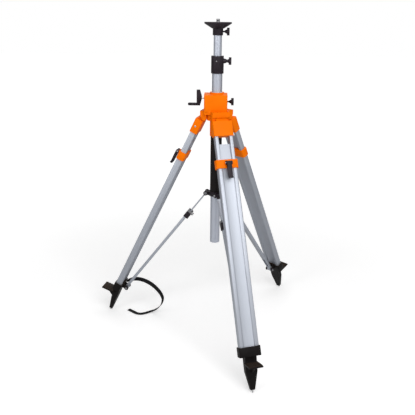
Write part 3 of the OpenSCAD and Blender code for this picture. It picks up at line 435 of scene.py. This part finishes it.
def tint(tree, value, dark, light):
    """Noise turned into a colour between two"""
    dark_to_share = 0.35
    light_from_share = 0.65
    ramp = tree.nodes.new("ShaderNodeValToRGB")
    ramp.color_ramp.elements[0].position = dark_to_share
    ramp.color_ramp.elements[0].color = (*dark, 1.0)
    ramp.color_ramp.elements[1].position = light_from_share
    ramp.color_ramp.elements[1].color = (*light, 1.0)
    tree.links.new(value, ramp.inputs["Fac"])
    return ramp.outputs["Color"]


def relief(tree, shader, height, strength, depth):
    """Fine relief on a shader's surface"""
    bump = add_node(tree, "ShaderNodeBump", Strength=strength, Distance=depth)
    tree.links.new(height, bump.inputs["Height"])
    tree.links.new(bump.outputs["Normal"], shader.inputs["Normal"])


def shaded(colour, share):
    """A colour made darker or lighter by a share"""
    return tuple(share * channel for channel in colour)


# Finishes

def powder_coat(colour):
    """Sprayed orange coat with faint blotches and a fine peel"""
    blotch_scale = 22
    gloss_scale = 90
    peel_scale = 700
    dark_share = 0.94
    gloss_share = 0.06
    smooth_share = 0.42
    rough_share = 0.55
    peel_share = 0.12
    peel_depth = 0.0004
    material, tree, shader = new_material("orange_powder_coat")
    space = tree.nodes.new("ShaderNodeTexCoord").outputs["Object"]
    shader.inputs["Specular IOR Level"].default_value = gloss_share
    blotches = tint(tree, pattern(tree, space, blotch_scale), shaded(colour, dark_share), colour)
    tree.links.new(blotches, shader.inputs["Base Color"])
    gloss = spread(tree, pattern(tree, space, gloss_scale), smooth_share, rough_share)
    tree.links.new(gloss, shader.inputs["Roughness"])
    relief(tree, shader, pattern(tree, space, peel_scale), peel_share, peel_depth)
    return material


def anodised(name, colour, turn, smooth_share, rough_share):
    """Drawn and anodised aluminium, streaked along one direction"""
    streak_stretch = 120
    streak_scale = 1100
    streak_detail = 3
    metal_share = 0.8
    dark_share = 0.9
    streak_share = 0.05
    streak_depth = 0.0002
    material, tree, shader = new_material(name)
    space = tree.nodes.new("ShaderNodeTexCoord").outputs["Object"]
    drawn = add_node(
        tree, "ShaderNodeMapping", vector_type="TEXTURE", Rotation=turn, Scale=(1, 1, streak_stretch)
    )
    tree.links.new(space, drawn.inputs["Vector"])
    streaks = pattern(tree, drawn.outputs["Vector"], streak_scale, streak_detail)
    shader.inputs["Metallic"].default_value = metal_share
    tree.links.new(tint(tree, streaks, shaded(colour, dark_share), colour), shader.inputs["Base Color"])
    tree.links.new(spread(tree, streaks, smooth_share, rough_share), shader.inputs["Roughness"])
    relief(tree, shader, streaks, streak_share, streak_depth)
    return material


def dappled_black(tree, space, colour):
    """The uneven black of a moulding"""
    dapple_scale = 40
    dark_share = 0.8
    light_share = 1.25
    return tint(
        tree, pattern(tree, space, dapple_scale), shaded(colour, dark_share), shaded(colour, light_share)
    )


def moulded_skin(tree, shader, space, smooth_share, rough_share, grain_scale):
    """The uneven gloss and the grain of a moulding"""
    gloss_scale = 160
    grain_detail = 4
    grain_share = 0.2
    grain_depth = 0.0003
    gloss = spread(tree, pattern(tree, space, gloss_scale), smooth_share, rough_share)
    tree.links.new(gloss, shader.inputs["Roughness"])
    relief(tree, shader, pattern(tree, space, grain_scale, grain_detail), grain_share, grain_depth)


def moulded(name, colour, grain_scale):
    """Moulded black plastic"""
    gloss_share = 0.16
    smooth_share = 0.36
    rough_share = 0.52
    material, tree, shader = new_material(name)
    space = tree.nodes.new("ShaderNodeTexCoord").outputs["Object"]
    shader.inputs["Specular IOR Level"].default_value = gloss_share
    tree.links.new(dappled_black(tree, space, colour), shader.inputs["Base Color"])
    moulded_skin(tree, shader, space, smooth_share, rough_share, grain_scale)
    return material


def lit_tops(name, colour, top_light, grain_scale):
    """Moulded black whose top faces get painted light from above, lighter and browner in blotches"""
    gloss_share = 0.1
    smooth_share = 0.4
    rough_share = 0.58
    top_blotch_scale = 70
    top_blotch_detail = 4
    top_blotch_dark_share = 0.6
    top_light_from_share = 0.55
    top_light_full_share = 0.9
    material, tree, shader = new_material(name)
    places = tree.nodes.new("ShaderNodeTexCoord")
    space = places.outputs["Object"]
    facing = tree.nodes.new("ShaderNodeSeparateXYZ")
    tree.links.new(places.outputs["Normal"], facing.inputs["Vector"])
    # Painted light from above: the share of the top colour grows as a face turns to face up
    top_light_mask = tree.nodes.new("ShaderNodeMapRange")
    top_light_mask.inputs["From Min"].default_value = top_light_from_share
    top_light_mask.inputs["From Max"].default_value = top_light_full_share
    tree.links.new(facing.outputs["Z"], top_light_mask.inputs["Value"])
    top_blotches = pattern(tree, space, top_blotch_scale, top_blotch_detail)
    painted_top_light = tint(tree, top_blotches, shaded(top_light, top_blotch_dark_share), top_light)
    coat = add_node(tree, "ShaderNodeMix", data_type="RGBA")
    tree.links.new(top_light_mask.outputs["Result"], coat.inputs["Factor"])
    tree.links.new(dappled_black(tree, space, colour), coat.inputs["A"])
    tree.links.new(painted_top_light, coat.inputs["B"])
    shader.inputs["Specular IOR Level"].default_value = gloss_share
    tree.links.new(coat.outputs["Result"], shader.inputs["Base Color"])
    moulded_skin(tree, shader, space, smooth_share, rough_share, grain_scale)
    return material


def plated_steel(name, colour):
    """Plated steel with a faintly cloudy shine"""
    cloud_scale = 120
    gloss_scale = 600
    metal_share = 1.0
    dark_share = 0.85
    smooth_share = 0.22
    rough_share = 0.36
    material, tree, shader = new_material(name)
    space = tree.nodes.new("ShaderNodeTexCoord").outputs["Object"]
    shader.inputs["Metallic"].default_value = metal_share
    clouds = tint(tree, pattern(tree, space, cloud_scale), shaded(colour, dark_share), colour)
    tree.links.new(clouds, shader.inputs["Base Color"])
    gloss = spread(tree, pattern(tree, space, gloss_scale), smooth_share, rough_share)
    tree.links.new(gloss, shader.inputs["Roughness"])
    return material


def natural_nylon(colour):
    """Uncoloured nylon of the bushes and plugs"""
    cloud_scale = 60
    gloss_scale = 300
    dark_share = 0.93
    smooth_share = 0.45
    rough_share = 0.6
    material, tree, shader = new_material("natural_nylon")
    space = tree.nodes.new("ShaderNodeTexCoord").outputs["Object"]
    clouds = tint(tree, pattern(tree, space, cloud_scale), shaded(colour, dark_share), colour)
    tree.links.new(clouds, shader.inputs["Base Color"])
    gloss = spread(tree, pattern(tree, space, gloss_scale), smooth_share, rough_share)
    tree.links.new(gloss, shader.inputs["Roughness"])
    return material


def woven(colour):
    """Webbing whose threads follow its own length and width"""
    row_scale = 95
    line_scale = 130
    rough_share = 0.8
    gloss_share = 0.15
    dark_share = 0.6
    light_share = 1.8
    thread_share = 0.5
    thread_depth = 0.0006
    material, tree, shader = new_material("woven_webbing")
    chart = tree.nodes.new("ShaderNodeUVMap").outputs["UV"]
    rows = add_node(tree, "ShaderNodeTexWave", bands_direction="X", Scale=row_scale)
    lines = add_node(tree, "ShaderNodeTexWave", bands_direction="Y", Scale=line_scale)
    for wave in (rows, lines):
        tree.links.new(chart, wave.inputs["Vector"])
    weave = add_node(tree, "ShaderNodeMath", operation="MULTIPLY")
    tree.links.new(rows.outputs["Fac"], weave.inputs[0])
    tree.links.new(lines.outputs["Fac"], weave.inputs[1])
    shader.inputs["Roughness"].default_value = rough_share
    shader.inputs["Specular IOR Level"].default_value = gloss_share
    threads = tint(tree, weave.outputs["Value"], shaded(colour, dark_share), shaded(colour, light_share))
    tree.links.new(threads, shader.inputs["Base Color"])
    relief(tree, shader, weave.outputs["Value"], thread_share, thread_depth)
    return material


class TRIPOD_OT_finishes(bpy.types.Operator):
    """Make the finishes and put them on the solids"""

    bl_idname = "tripod.finishes"
    bl_label = "Finishes"

    def execute(self, context):
        finishes = context.scene.tripod_finishes
        moulding_grain = 900
        tube_grain = 300
        tube_shares = (0.36, 0.48)
        leg_shares = (0.46, 0.6)
        strut_shares = (0.4, 0.52)
        upright = (0, 0, 0)
        by_slot = {
            "orange_casting": powder_coat(finishes.orange),
            "black_plastic": moulded("moulded_black", finishes.black, moulding_grain),
            "black_tube": moulded("coated_black_tube", finishes.tube_black, tube_grain),
            "steel": plated_steel("plated_steel", finishes.steel),
            "nylon": natural_nylon(finishes.nylon),
            "webbing": woven(finishes.webbing),
            "aluminium": anodised("anodised_column", finishes.tube_aluminium, upright, *tube_shares),
        }
        for entry in frame["record"]["subparts"]:
            solid = frame["nodes"][entry["node"]]
            solid.data.materials.clear()
            solid.data.materials.append(by_slot[entry["material_slot"]])
        for side in LEGS:
            down_leg = leg_frame(side).to_euler()
            along_leg = anodised(f"anodised_leg_{side}", finishes.leg_aluminium, down_leg, *leg_shares)
            down_strut = strut_frame(side).to_euler()
            along_strut = anodised(
                f"anodised_strut_{side}", finishes.leg_aluminium, down_strut, *strut_shares
            )
            for kind in ("leg_rails", "leg_profile"):
                frame["nodes"][f"{kind}_{side}"].data.materials[0] = along_leg
            for kind in ("strut_bar", "strut_channel"):
                frame["nodes"][f"{kind}_{side}"].data.materials[0] = along_strut
        frame["nodes"]["leg_hinge_pins"].data.materials[0] = by_slot["orange_casting"]
        # The feet's black with painted light on their top faces
        foot_coat = lit_tops("lit_tops_black", finishes.foot_black, finishes.foot_top_light, moulding_grain)
        pin_coat = plated_steel("dull_steel", finishes.pin_steel)
        for side in LEGS:
            frame["nodes"][f"foot_{side}"].data.materials[0] = foot_coat
            for kind in ("upper_strut_pin", "lower_strut_pin", "coupling_screw"):
                frame["nodes"][f"{kind}_{side}"].data.materials[0] = pin_coat
        return {"FINISHED"}


# Places

def azimuth(side):
    """The direction that a leg points in, about the column"""
    turn = bpy.context.scene.tripod_sizes.leg_turn
    return turn + math.radians(LEG_AZIMUTHS[side])


def leg_frame(side):
    """X points outwards, Y along the hinge pin and -Z down the leg, from the hinge pin"""
    sizes = bpy.context.scene.tripod_sizes
    return (
        Matrix.Rotation(azimuth(side), 4, "Z")
        @ Matrix.Translation((sizes.hinge_radius, 0, sizes.hinge_height))
        @ Matrix.Rotation(-sizes.leg_lean, 4, "Y")
    )


def strut_frame(side):
    """X points outwards, Y along the pins and -Z down the strut, from its upper pin"""
    sizes = bpy.context.scene.tripod_sizes
    return (
        Matrix.Rotation(azimuth(side), 4, "Z")
        @ Matrix.Translation((sizes.ring_radius, 0, sizes.ring_height))
        @ Matrix.Rotation(-sizes.strut_lean, 4, "Y")
    )


# Softened solids

def softened(node, edge, segments=CAST_SEGMENTS):
    """A copy of a solid with rounded edges, which stands for it"""
    solid = frame["nodes"][node]
    piece = another(solid, f"{node}_dressed")
    for key in list(piece.keys()):
        del piece[key]
    piece.parent = None
    edit(piece)
    bpy.ops.mesh.select_all(action="SELECT")
    bpy.ops.mesh.remove_doubles(threshold=HAIR)
    bpy.ops.mesh.dissolve_limited(angle_limit=FLAT_ANGLE)
    bpy.ops.object.mode_set(mode="OBJECT")
    rounding = piece.modifiers.new("rounding", "BEVEL")
    rounding.width = edge
    rounding.segments = segments
    rounding.limit_method = "ANGLE"
    rounding.angle_limit = SHARP_ANGLE
    bpy.ops.object.modifier_apply(modifier="rounding")
    bpy.ops.object.shade_smooth_by_angle(angle=SMOOTH_ANGLE)
    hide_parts(node)
    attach(piece, BODY_OF[node])
    return piece


def coat_where(piece, place, finish, wanted):
    """Give a second finish to the faces whose corners, seen from a place, are wanted"""
    spots = [place.inverted() @ corner.co for corner in piece.data.vertices]
    piece.data.materials.append(bpy.data.materials[finish])
    for face in piece.data.polygons:
        if wanted([spots[corner] for corner in face.vertices]):
            face.material_index = 1


def coat_above(piece, place, height, finish):
    """Cut a piece's faces at a height, seen from a place, and give those above it a second finish"""
    edit(piece)
    bpy.ops.mesh.select_all(action="SELECT")
    bpy.ops.mesh.bisect(plane_co=place @ Vector((0, 0, height)), plane_no=place.col[2].to_3d())
    bpy.ops.object.mode_set(mode="OBJECT")
    coat_where(piece, place, finish, lambda spots: min(spot.z for spot in spots) > height - HAIR)


class TRIPOD_OT_castings(bpy.types.Operator):
    """Round the edges of the orange castings"""

    bl_idname = "tripod.castings"
    bl_label = "Castings"

    def execute(self, context):
        edge = context.scene.tripod_sizes.casting_edge
        for node in ("gear_housing", "tripod_base"):
            softened(node, edge)
        for side in LEGS:
            softened(f"leg_cap_{side}", edge)
            softened(f"leg_clamp_{side}", edge)
        return {"FINISHED"}


class TRIPOD_OT_mouldings(bpy.types.Operator):
    """Round the edges of the black mouldings"""

    bl_idname = "tripod.mouldings"
    bl_label = "Mouldings"

    def execute(self, context):
        edge = context.scene.tripod_sizes.moulding_edge
        single = (
            "head_plate", "column_sleeve", "crank_arm", "crank_grip", "strut_ring",
            "column_knob", "sleeve_knob", "head_knob",
        )
        for node in single:
            softened(node, edge)
        for side in LEGS:
            for kind in ("foot", "clamp_lever"):
                softened(f"{kind}_{side}", edge)
        return {"FINISHED"}


class TRIPOD_OT_profiles(bpy.types.Operator):
    """Break the edges of the drawn aluminium profiles"""

    bl_idname = "tripod.profiles"
    bl_label = "Profiles"

    def execute(self, context):
        edge = context.scene.tripod_sizes.profile_edge
        for side in LEGS:
            for kind in ("leg_rails", "leg_profile", "strut_channel"):
                softened(f"{kind}_{side}", edge, PROFILE_SEGMENTS)
        return {"FINISHED"}


class TRIPOD_OT_strut_ends(bpy.types.Operator):
    """Blacken the strut pins' washers and the bars' upper ends, and bare the couplings' upper ends"""

    bl_idname = "tripod.strut_ends"
    bl_label = "Strut ends"

    def execute(self, context):
        sizes = context.scene.tripod_sizes
        for side in LEGS:
            upper = strut_frame(side)
            lower = upper @ Matrix.Translation((0, 0, -sizes.strut_length))
            for kind, pin_place in (("upper_strut_pin", upper), ("lower_strut_pin", lower)):
                pin = softened(f"{kind}_{side}", sizes.profile_edge, PROFILE_SEGMENTS)
                coat_where(
                    pin, pin_place, "moulded_black",
                    lambda spots: max(math.hypot(spot.x, spot.z) for spot in spots) > sizes.pin_end_radius,
                )
            bar = softened(f"strut_bar_{side}", sizes.profile_edge, PROFILE_SEGMENTS)
            coat_above(bar, upper, -sizes.bar_end, "moulded_black")
            coupling = softened(f"strut_coupling_{side}", sizes.moulding_edge)
            coat_above(coupling, upper, -sizes.coupling_down - sizes.coupling_bare, "dull_steel")
        return {"FINISHED"}


# Fittings

def round_head(name, radius, height, rim_share):
    """A round head with a rounded rim, its foot at the origin and its axis along Z"""
    deselect_all()
    bpy.ops.mesh.primitive_cylinder_add(
        vertices=HEAD_CORNERS, radius=radius, depth=height, location=(0, 0, height / 2)
    )
    head = bpy.context.object
    head.name = name
    apply_place(head)
    edit(head)
    pick_faces(head, lambda face: face.normal.z > FACING_SHARE)
    bpy.ops.mesh.bevel(offset=height * rim_share, segments=RIM_SEGMENTS, affect="EDGES")
    bpy.ops.object.mode_set(mode="OBJECT")
    return head


def sink_socket(head, rim, depth):
    """Sink a round socket into the flat top of a head"""
    level_share = 0.1
    edit(head)
    top = max(corner.co.z for corner in head.data.vertices) - depth * level_share
    pick_faces(head, lambda face: face.normal.z > FACING_SHARE and face.calc_center_median().z > top)
    bpy.ops.mesh.inset(thickness=rim)
    bpy.ops.mesh.extrude_region_move(TRANSFORM_OT_translate={"value": (0, 0, -depth)})
    bpy.ops.object.mode_set(mode="OBJECT")


def turned_to_y(side):
    """Turns a head's axis from Z to one side of Y"""
    return Matrix.Rotation(-side * math.pi / 2, 4, "X")


class TRIPOD_OT_screws(bpy.types.Operator):
    """Model the bright screws of the leg caps and the sleeve"""

    bl_idname = "tripod.screws"
    bl_label = "Screws"

    def execute(self, context):
        fittings = context.scene.tripod_fittings
        rim_share = 0.55
        socket_rim_share = 0.25
        socket_depth_share = 0.4
        sleeve_screw_share = 0.7
        radius = fittings.screw_radius
        height = fittings.screw_height
        screw = round_head("screw_pattern", radius, height, rim_share)
        sink_socket(screw, radius * socket_rim_share, height * socket_depth_share)
        on_cap = Matrix.Translation(
            (fittings.cap_screw_out, fittings.cap_half_width, -fittings.cap_screw_down)
        )
        for side in LEGS:
            place = leg_frame(side) @ on_cap @ turned_to_y(1)
            cap_screw = another(screw, f"cap_screw_{side}")
            put_down(cap_screw, place, "plated_steel", f"upper_leg_{side}")
        place = (
            Matrix.Rotation(fittings.sleeve_screw_turn, 4, "Z")
            @ Matrix.Translation((fittings.sleeve_radius, 0, fittings.sleeve_screw_height))
            @ Matrix.Rotation(math.pi / 2, 4, "Y")
            @ Matrix.Scale(sleeve_screw_share, 4)
        )
        put_down(screw, place, "dull_steel", "column")
        screw.name = "sleeve_screw"
        return {"FINISHED"}


class TRIPOD_OT_lever_hubs(bpy.types.Operator):
    """Model the black covers beside the levers' hubs and the bright ends of their pins"""

    bl_idname = "tripod.lever_hubs"
    bl_label = "Lever hubs"

    def execute(self, context):
        fittings = context.scene.tripod_fittings
        cover_rim_share = 0.3
        pin_rim_share = 0.7
        pin_radius_share = 0.8
        pin_height_share = 0.6
        pin_radius = fittings.screw_radius * pin_radius_share
        pin_height = fittings.screw_height * pin_height_share
        cover = round_head("hub_pattern", fittings.hub_radius, fittings.hub_length, cover_rim_share)
        pin_end = round_head("pin_pattern", pin_radius, pin_height, pin_rim_share)
        for side in LEGS:
            body = f"lower_leg_{side}"
            for hand, word in zip(SIDES, ("near", "far")):
                inner = leg_frame(side) @ Matrix.Translation((
                    fittings.lever_pin_out,
                    fittings.lever_side + hand * fittings.lever_half_width,
                    -fittings.lever_pin_down,
                ))
                outwards = inner @ turned_to_y(hand)
                hub = another(cover, f"lever_hub_{side}_{word}")
                put_down(hub, outwards, "moulded_black", body)
                end = outwards @ Matrix.Translation((0, 0, fittings.hub_length))
                pin = another(pin_end, f"lever_pin_{side}_{word}")
                put_down(pin, end, "plated_steel", body)
        for start in (cover, pin_end):
            bpy.data.objects.remove(start)
        return {"FINISHED"}


class TRIPOD_OT_stud(bpy.types.Operator):
    """Model the head's threaded stud"""

    bl_idname = "tripod.stud"
    bl_label = "Head stud"

    def execute(self, context):
        fittings = context.scene.tripod_fittings
        thread_depth_share = 0.45
        rim_share = 0.06
        crest = fittings.stud_radius
        root = crest - fittings.stud_pitch * thread_depth_share
        bed = fittings.stud_height / 2
        height = fittings.stud_height + bed
        core = round_head("head_stud_threaded", root, height, rim_share)
        ridge = self.add_ridge(root, crest, fittings.stud_pitch, bed, fittings.stud_height)
        deselect_all()
        ridge.select_set(True)
        core.select_set(True)
        context.view_layer.objects.active = core
        bpy.ops.object.join()
        place = Matrix.Translation((0, 0, fittings.stud_foot - bed))
        put_down(core, place, "dull_steel", BODY_OF["head_stud"])
        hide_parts("head_stud")
        return {"FINISHED"}

    def add_ridge(self, root, crest, pitch, start, height):
        """A thread's ridge: a triangle screwed up the stud and closed at both ends"""
        sunk_share = 0.1
        half_ridge_share = 0.42
        deselect_all()
        bpy.ops.mesh.primitive_circle_add(vertices=3, radius=pitch, fill_type="NOTHING")
        ridge = bpy.context.object
        inside = root - pitch * sunk_share
        half = pitch * half_ridge_share
        corners = ((inside, -half), (crest, 0), (inside, half))
        for vertex, (out, rise) in zip(ridge.data.vertices, corners):
            vertex.co = (out, 0, start + pitch / 2 + rise)
        winding = ridge.modifiers.new("winding", "SCREW")
        winding.axis = "Z"
        winding.angle = 2 * math.pi
        winding.screw_offset = pitch
        winding.iterations = math.floor(height / pitch - 1)
        winding.steps = THREAD_STEPS
        winding.render_steps = THREAD_STEPS
        choose(ridge)
        bpy.ops.object.modifier_apply(modifier="winding")
        edit(ridge)
        bpy.ops.mesh.select_all(action="SELECT")
        bpy.ops.mesh.fill_holes(sides=4)
        bpy.ops.mesh.select_all(action="SELECT")
        bpy.ops.mesh.normals_make_consistent(inside=False)
        bpy.ops.object.mode_set(mode="OBJECT")
        return ridge


# Strap

def curve_point(before, start, end, after, share):
    """A point of the smooth curve through four points of a route"""
    square = share * share
    cube = square * share
    return (
        2 * start
        + (end - before) * share
        + (2 * before - 5 * start + 4 * end - after) * square
        + (3 * start - before - 3 * end + after) * cube
    ) / 2


def strap_path(steps):
    """Points along the strap and the roll at each"""
    route = [Vector(point) for point in STRAP_ROUTE]
    ends = [route[0], *route, route[-1]]
    points = []
    rolls = []
    for index in range(len(route) - 1):
        for step in range(steps):
            share = step / steps
            points.append(curve_point(*ends[index:index + 4], share))
            rolls.append(STRAP_ROLLS[index] + (STRAP_ROLLS[index + 1] - STRAP_ROLLS[index]) * share)
    return points + [route[-1]], rolls + [STRAP_ROLLS[-1]]


class TRIPOD_OT_strap(bpy.types.Operator):
    """Weave the carry strap along its route"""

    bl_idname = "tripod.strap"
    bl_label = "Carry strap"

    def execute(self, context):
        sizes = context.scene.tripod_sizes
        points, rolls = strap_path(STRAP_STEPS)
        edge_share = 0.6
        half_width = sizes.strap_width / 2
        half_thickness = sizes.strap_thickness / 2
        shape = bmesh.new()
        chart = shape.loops.layers.uv.new("webbing")
        edge = half_thickness * edge_share
        section = [
            (half_width, 0.0), (half_width - edge, half_thickness), (0.0, half_thickness),
            (edge - half_width, half_thickness), (-half_width, 0.0), (edge - half_width, -half_thickness),
            (0.0, -half_thickness), (half_width - edge, -half_thickness),
        ]
        rings = []
        run = 0.0
        runs = []
        for index, point in enumerate(points):
            ahead = points[min(index + 1, len(points) - 1)]
            behind = points[max(index - 1, 0)]
            along = (ahead - behind).normalized()
            level = (Vector((0, 1, 0)) - along * along.y).normalized()
            raised = along.cross(level)
            roll = math.radians(rolls[index])
            wide = level * math.cos(roll) + raised * math.sin(roll)
            thick = along.cross(wide)
            rings.append([shape.verts.new(point + wide * w + thick * t) for w, t in section])
            if index:
                run += (point - points[index - 1]).length
            runs.append(run)
        around = [0.0]
        for index in range(len(section)):
            here = Vector(section[index])
            there = Vector(section[(index + 1) % len(section)])
            around.append(around[-1] + (there - here).length)
        count = len(section)
        for ring in range(len(rings) - 1):
            for corner in range(count):
                corners = ((ring, corner), (ring, corner + 1), (ring + 1, corner + 1), (ring + 1, corner))
                face = shape.faces.new([rings[row][column % count] for row, column in corners])
                face.smooth = True
                for loop, (row, column) in zip(face.loops, corners):
                    loop[chart].uv = (runs[row], around[column])
        shape.faces.new(list(reversed(rings[0])))
        shape.faces.new(rings[-1])
        bmesh.ops.recalc_face_normals(shape, faces=shape.faces)
        mesh = bpy.data.meshes.new("carry_strap_webbing")
        shape.to_mesh(mesh)
        shape.free()
        mesh.materials.append(bpy.data.materials["woven_webbing"])
        strap = bpy.data.objects.new("carry_strap_webbing", mesh)
        context.scene.collection.objects.link(strap)
        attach(strap, "lower_leg_left")
        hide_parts("carry_strap")
        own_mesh(strap)
        return {"FINISHED"}


# Stage

class TRIPOD_OT_stage(bpy.types.Operator):
    """Set the floor, the lights, the background and the camera"""

    bl_idname = "tripod.stage"
    bl_label = "Stage"

    def execute(self, context):
        scene = context.scene
        scene.view_settings.view_transform = "Standard"
        self.add_floor()
        self.add_lights()
        self.add_cards()
        self.add_background(scene)
        self.add_camera(scene)
        return {"FINISHED"}

    def add_floor(self):
        """A pale floor that keeps the shadow and fades to white far away"""
        floor_size = 40
        grey_share = 0.86
        rough_share = 0.9
        gloss_share = 0.1
        near = 0.6
        far = 3.4
        near_glow_share = 0.36
        far_glow_share = 0.74
        deselect_all()
        bpy.ops.mesh.primitive_plane_add(size=floor_size)
        floor = bpy.context.object
        floor.name = "studio_floor"
        material, tree, shader = new_material("studio_floor")
        shader.inputs["Base Color"].default_value = (grey_share, grey_share, grey_share, 1)
        shader.inputs["Roughness"].default_value = rough_share
        shader.inputs["Specular IOR Level"].default_value = gloss_share
        shader.inputs["Emission Color"].default_value = (1, 1, 1, 1)
        path = tree.nodes.new("ShaderNodeLightPath")
        space = tree.nodes.new("ShaderNodeTexCoord").outputs["Object"]
        reach = add_node(tree, "ShaderNodeVectorMath", operation="LENGTH")
        tree.links.new(space, reach.inputs[0])
        falloff = add_node(tree, "ShaderNodeMapRange", interpolation_type="SMOOTHSTEP")
        falloff.inputs["From Min"].default_value = near
        falloff.inputs["From Max"].default_value = far
        falloff.inputs["To Min"].default_value = near_glow_share
        falloff.inputs["To Max"].default_value = far_glow_share
        tree.links.new(reach.outputs["Value"], falloff.inputs["Value"])
        lift = add_node(tree, "ShaderNodeMath", operation="MULTIPLY")
        tree.links.new(path.outputs["Is Camera Ray"], lift.inputs[0])
        tree.links.new(falloff.outputs["Result"], lift.inputs[1])
        tree.links.new(lift.outputs["Value"], shader.inputs["Emission Strength"])
        floor.data.materials.append(material)

    def add_lights(self):
        """A large key lamp at the front right, a fill at the left and a lamp above"""
        key_place = (0.9, -2.5, 2.9)
        key_power = 76
        key_size = 2.6
        fill_place = (-2.4, -2.2, 2.0)
        fill_power = 20
        fill_size = 1.2
        top_place = (0.2, 0.8, 3.6)
        top_power = 20
        top_size = 2.4
        self.add_lamp("key_lamp", key_place, key_power, key_size)
        self.add_lamp("fill_lamp", fill_place, fill_power, fill_size)
        self.add_lamp("top_lamp", top_place, top_power, top_size)

    def add_lamp(self, name, place, power, size):
        """A square lamp that faces the tripod's middle"""
        middle_height = 0.75
        aim = Vector((0, 0, middle_height))
        deselect_all()
        bpy.ops.object.light_add(type="AREA", location=place)
        lamp = bpy.context.object
        lamp.name = name
        lamp.data.energy = power
        lamp.data.size = size
        lamp.rotation_euler = (aim - Vector(place)).to_track_quat("-Z", "Y").to_euler()

    def add_cards(self):
        """Dark cards at both sides, which only the metal's reflections see"""
        grey_share = 0.03
        rough_share = 1.0
        beside = 1.5
        behind = 0.7
        height = 1.2
        card_scale = (2.6, 2.2, 1)
        facing_sideways = (math.pi / 2, 0, math.pi / 2)
        material, _, shader = new_material("dark_card")
        shader.inputs["Base Color"].default_value = (grey_share, grey_share, grey_share, 1)
        shader.inputs["Roughness"].default_value = rough_share
        for hand, word in zip(SIDES, ("left", "right")):
            place = (hand * beside, behind, height)
            deselect_all()
            bpy.ops.mesh.primitive_plane_add(
                size=1, location=place, rotation=facing_sideways, scale=card_scale
            )
            card = bpy.context.object
            card.name = f"{word}_card"
            apply_place(card)
            card.visible_camera = False
            card.visible_diffuse = False
            card.visible_shadow = False
            card.data.materials.append(material)

    def add_background(self, scene):
        """White where the camera or a shine sees it, and dimmer as a light"""
        dim_share = 0.3
        full_share = 1.0
        world = bpy.data.worlds.new("white_studio")
        scene.world = world
        world.use_nodes = True
        tree = world.node_tree
        sky = tree.nodes["Background"]
        sky.inputs["Color"].default_value = (1, 1, 1, 1)
        path = tree.nodes.new("ShaderNodeLightPath")
        seen = add_node(tree, "ShaderNodeMath", operation="MAXIMUM")
        tree.links.new(path.outputs["Is Camera Ray"], seen.inputs[0])
        tree.links.new(path.outputs["Is Glossy Ray"], seen.inputs[1])
        shown = add_node(tree, "ShaderNodeMath", operation="MAXIMUM")
        tree.links.new(seen.outputs["Value"], shown.inputs[0])
        tree.links.new(path.outputs["Is Transmission Ray"], shown.inputs[1])
        level = tree.nodes.new("ShaderNodeMapRange")
        level.inputs["To Min"].default_value = dim_share
        level.inputs["To Max"].default_value = full_share
        tree.links.new(shown.outputs["Value"], level.inputs["Value"])
        tree.links.new(level.outputs["Result"], sky.inputs["Strength"])

    def add_camera(self, scene):
        """A camera that stands where the photo's did"""
        view = scene.tripod_view
        sensor_width = 36
        deselect_all()
        bpy.ops.object.camera_add(location=(0, -view.distance, view.height))
        camera = bpy.context.object
        camera.name = "photo_camera"
        camera.data.sensor_width = sensor_width
        camera.data.lens = view.lens
        turn = Matrix.Rotation(view.yaw, 4, "Z")
        tilt = Matrix.Rotation(math.pi / 2 - view.pitch, 4, "X")
        lean = Matrix.Rotation(view.roll, 4, "Z")
        camera.rotation_euler = (turn @ tilt @ lean).to_euler()
        scene.camera = camera


class TRIPOD_PT_panel(bpy.types.Panel):
    """Lists the settings and the steps that dress the tripod"""

    bl_idname = "TRIPOD_PT_panel"
    bl_label = "Elevating tripod"
    bl_space_type = "VIEW_3D"
    bl_region_type = "UI"
    bl_category = "Tripod"

    def draw(self, context):
        layout = self.layout
        for group in SETTINGS:
            settings = getattr(context.scene, group)
            for name in settings.bl_rna.properties.keys():
                if name not in ("rna_type", "name"):
                    layout.prop(settings, name)
        for step in STEPS:
            layout.operator(step.bl_idname)


SETTINGS = {
    "tripod_finishes": TripodFinishes,
    "tripod_sizes": TripodSizes,
    "tripod_fittings": TripodFittings,
    "tripod_view": TripodView,
}
STEPS = (
    TRIPOD_OT_stage,
    TRIPOD_OT_finishes,
    TRIPOD_OT_strap,
    TRIPOD_OT_castings,
    TRIPOD_OT_mouldings,
    TRIPOD_OT_profiles,
    TRIPOD_OT_strut_ends,
    TRIPOD_OT_screws,
    TRIPOD_OT_lever_hubs,
    TRIPOD_OT_stud,
)
CLASSES = (*SETTINGS.values(), *STEPS, TRIPOD_PT_panel)


def register():
    for item in CLASSES:
        bpy.utils.register_class(item)
    for name, group in SETTINGS.items():
        setattr(bpy.types.Scene, name, bpy.props.PointerProperty(type=group))


def unregister():
    for name in SETTINGS:
        delattr(bpy.types.Scene, name)
    for item in reversed(CLASSES):
        bpy.utils.unregister_class(item)


def main():
    register()
    bpy.ops.tripod.stage()
    bpy.ops.tripod.finishes()
    bpy.ops.tripod.strap()
    bpy.ops.tripod.castings()
    bpy.ops.tripod.mouldings()
    bpy.ops.tripod.profiles()
    bpy.ops.tripod.strut_ends()
    bpy.ops.tripod.screws()
    bpy.ops.tripod.lever_hubs()
    bpy.ops.tripod.stud()


if __name__ == "__main__":
    main()
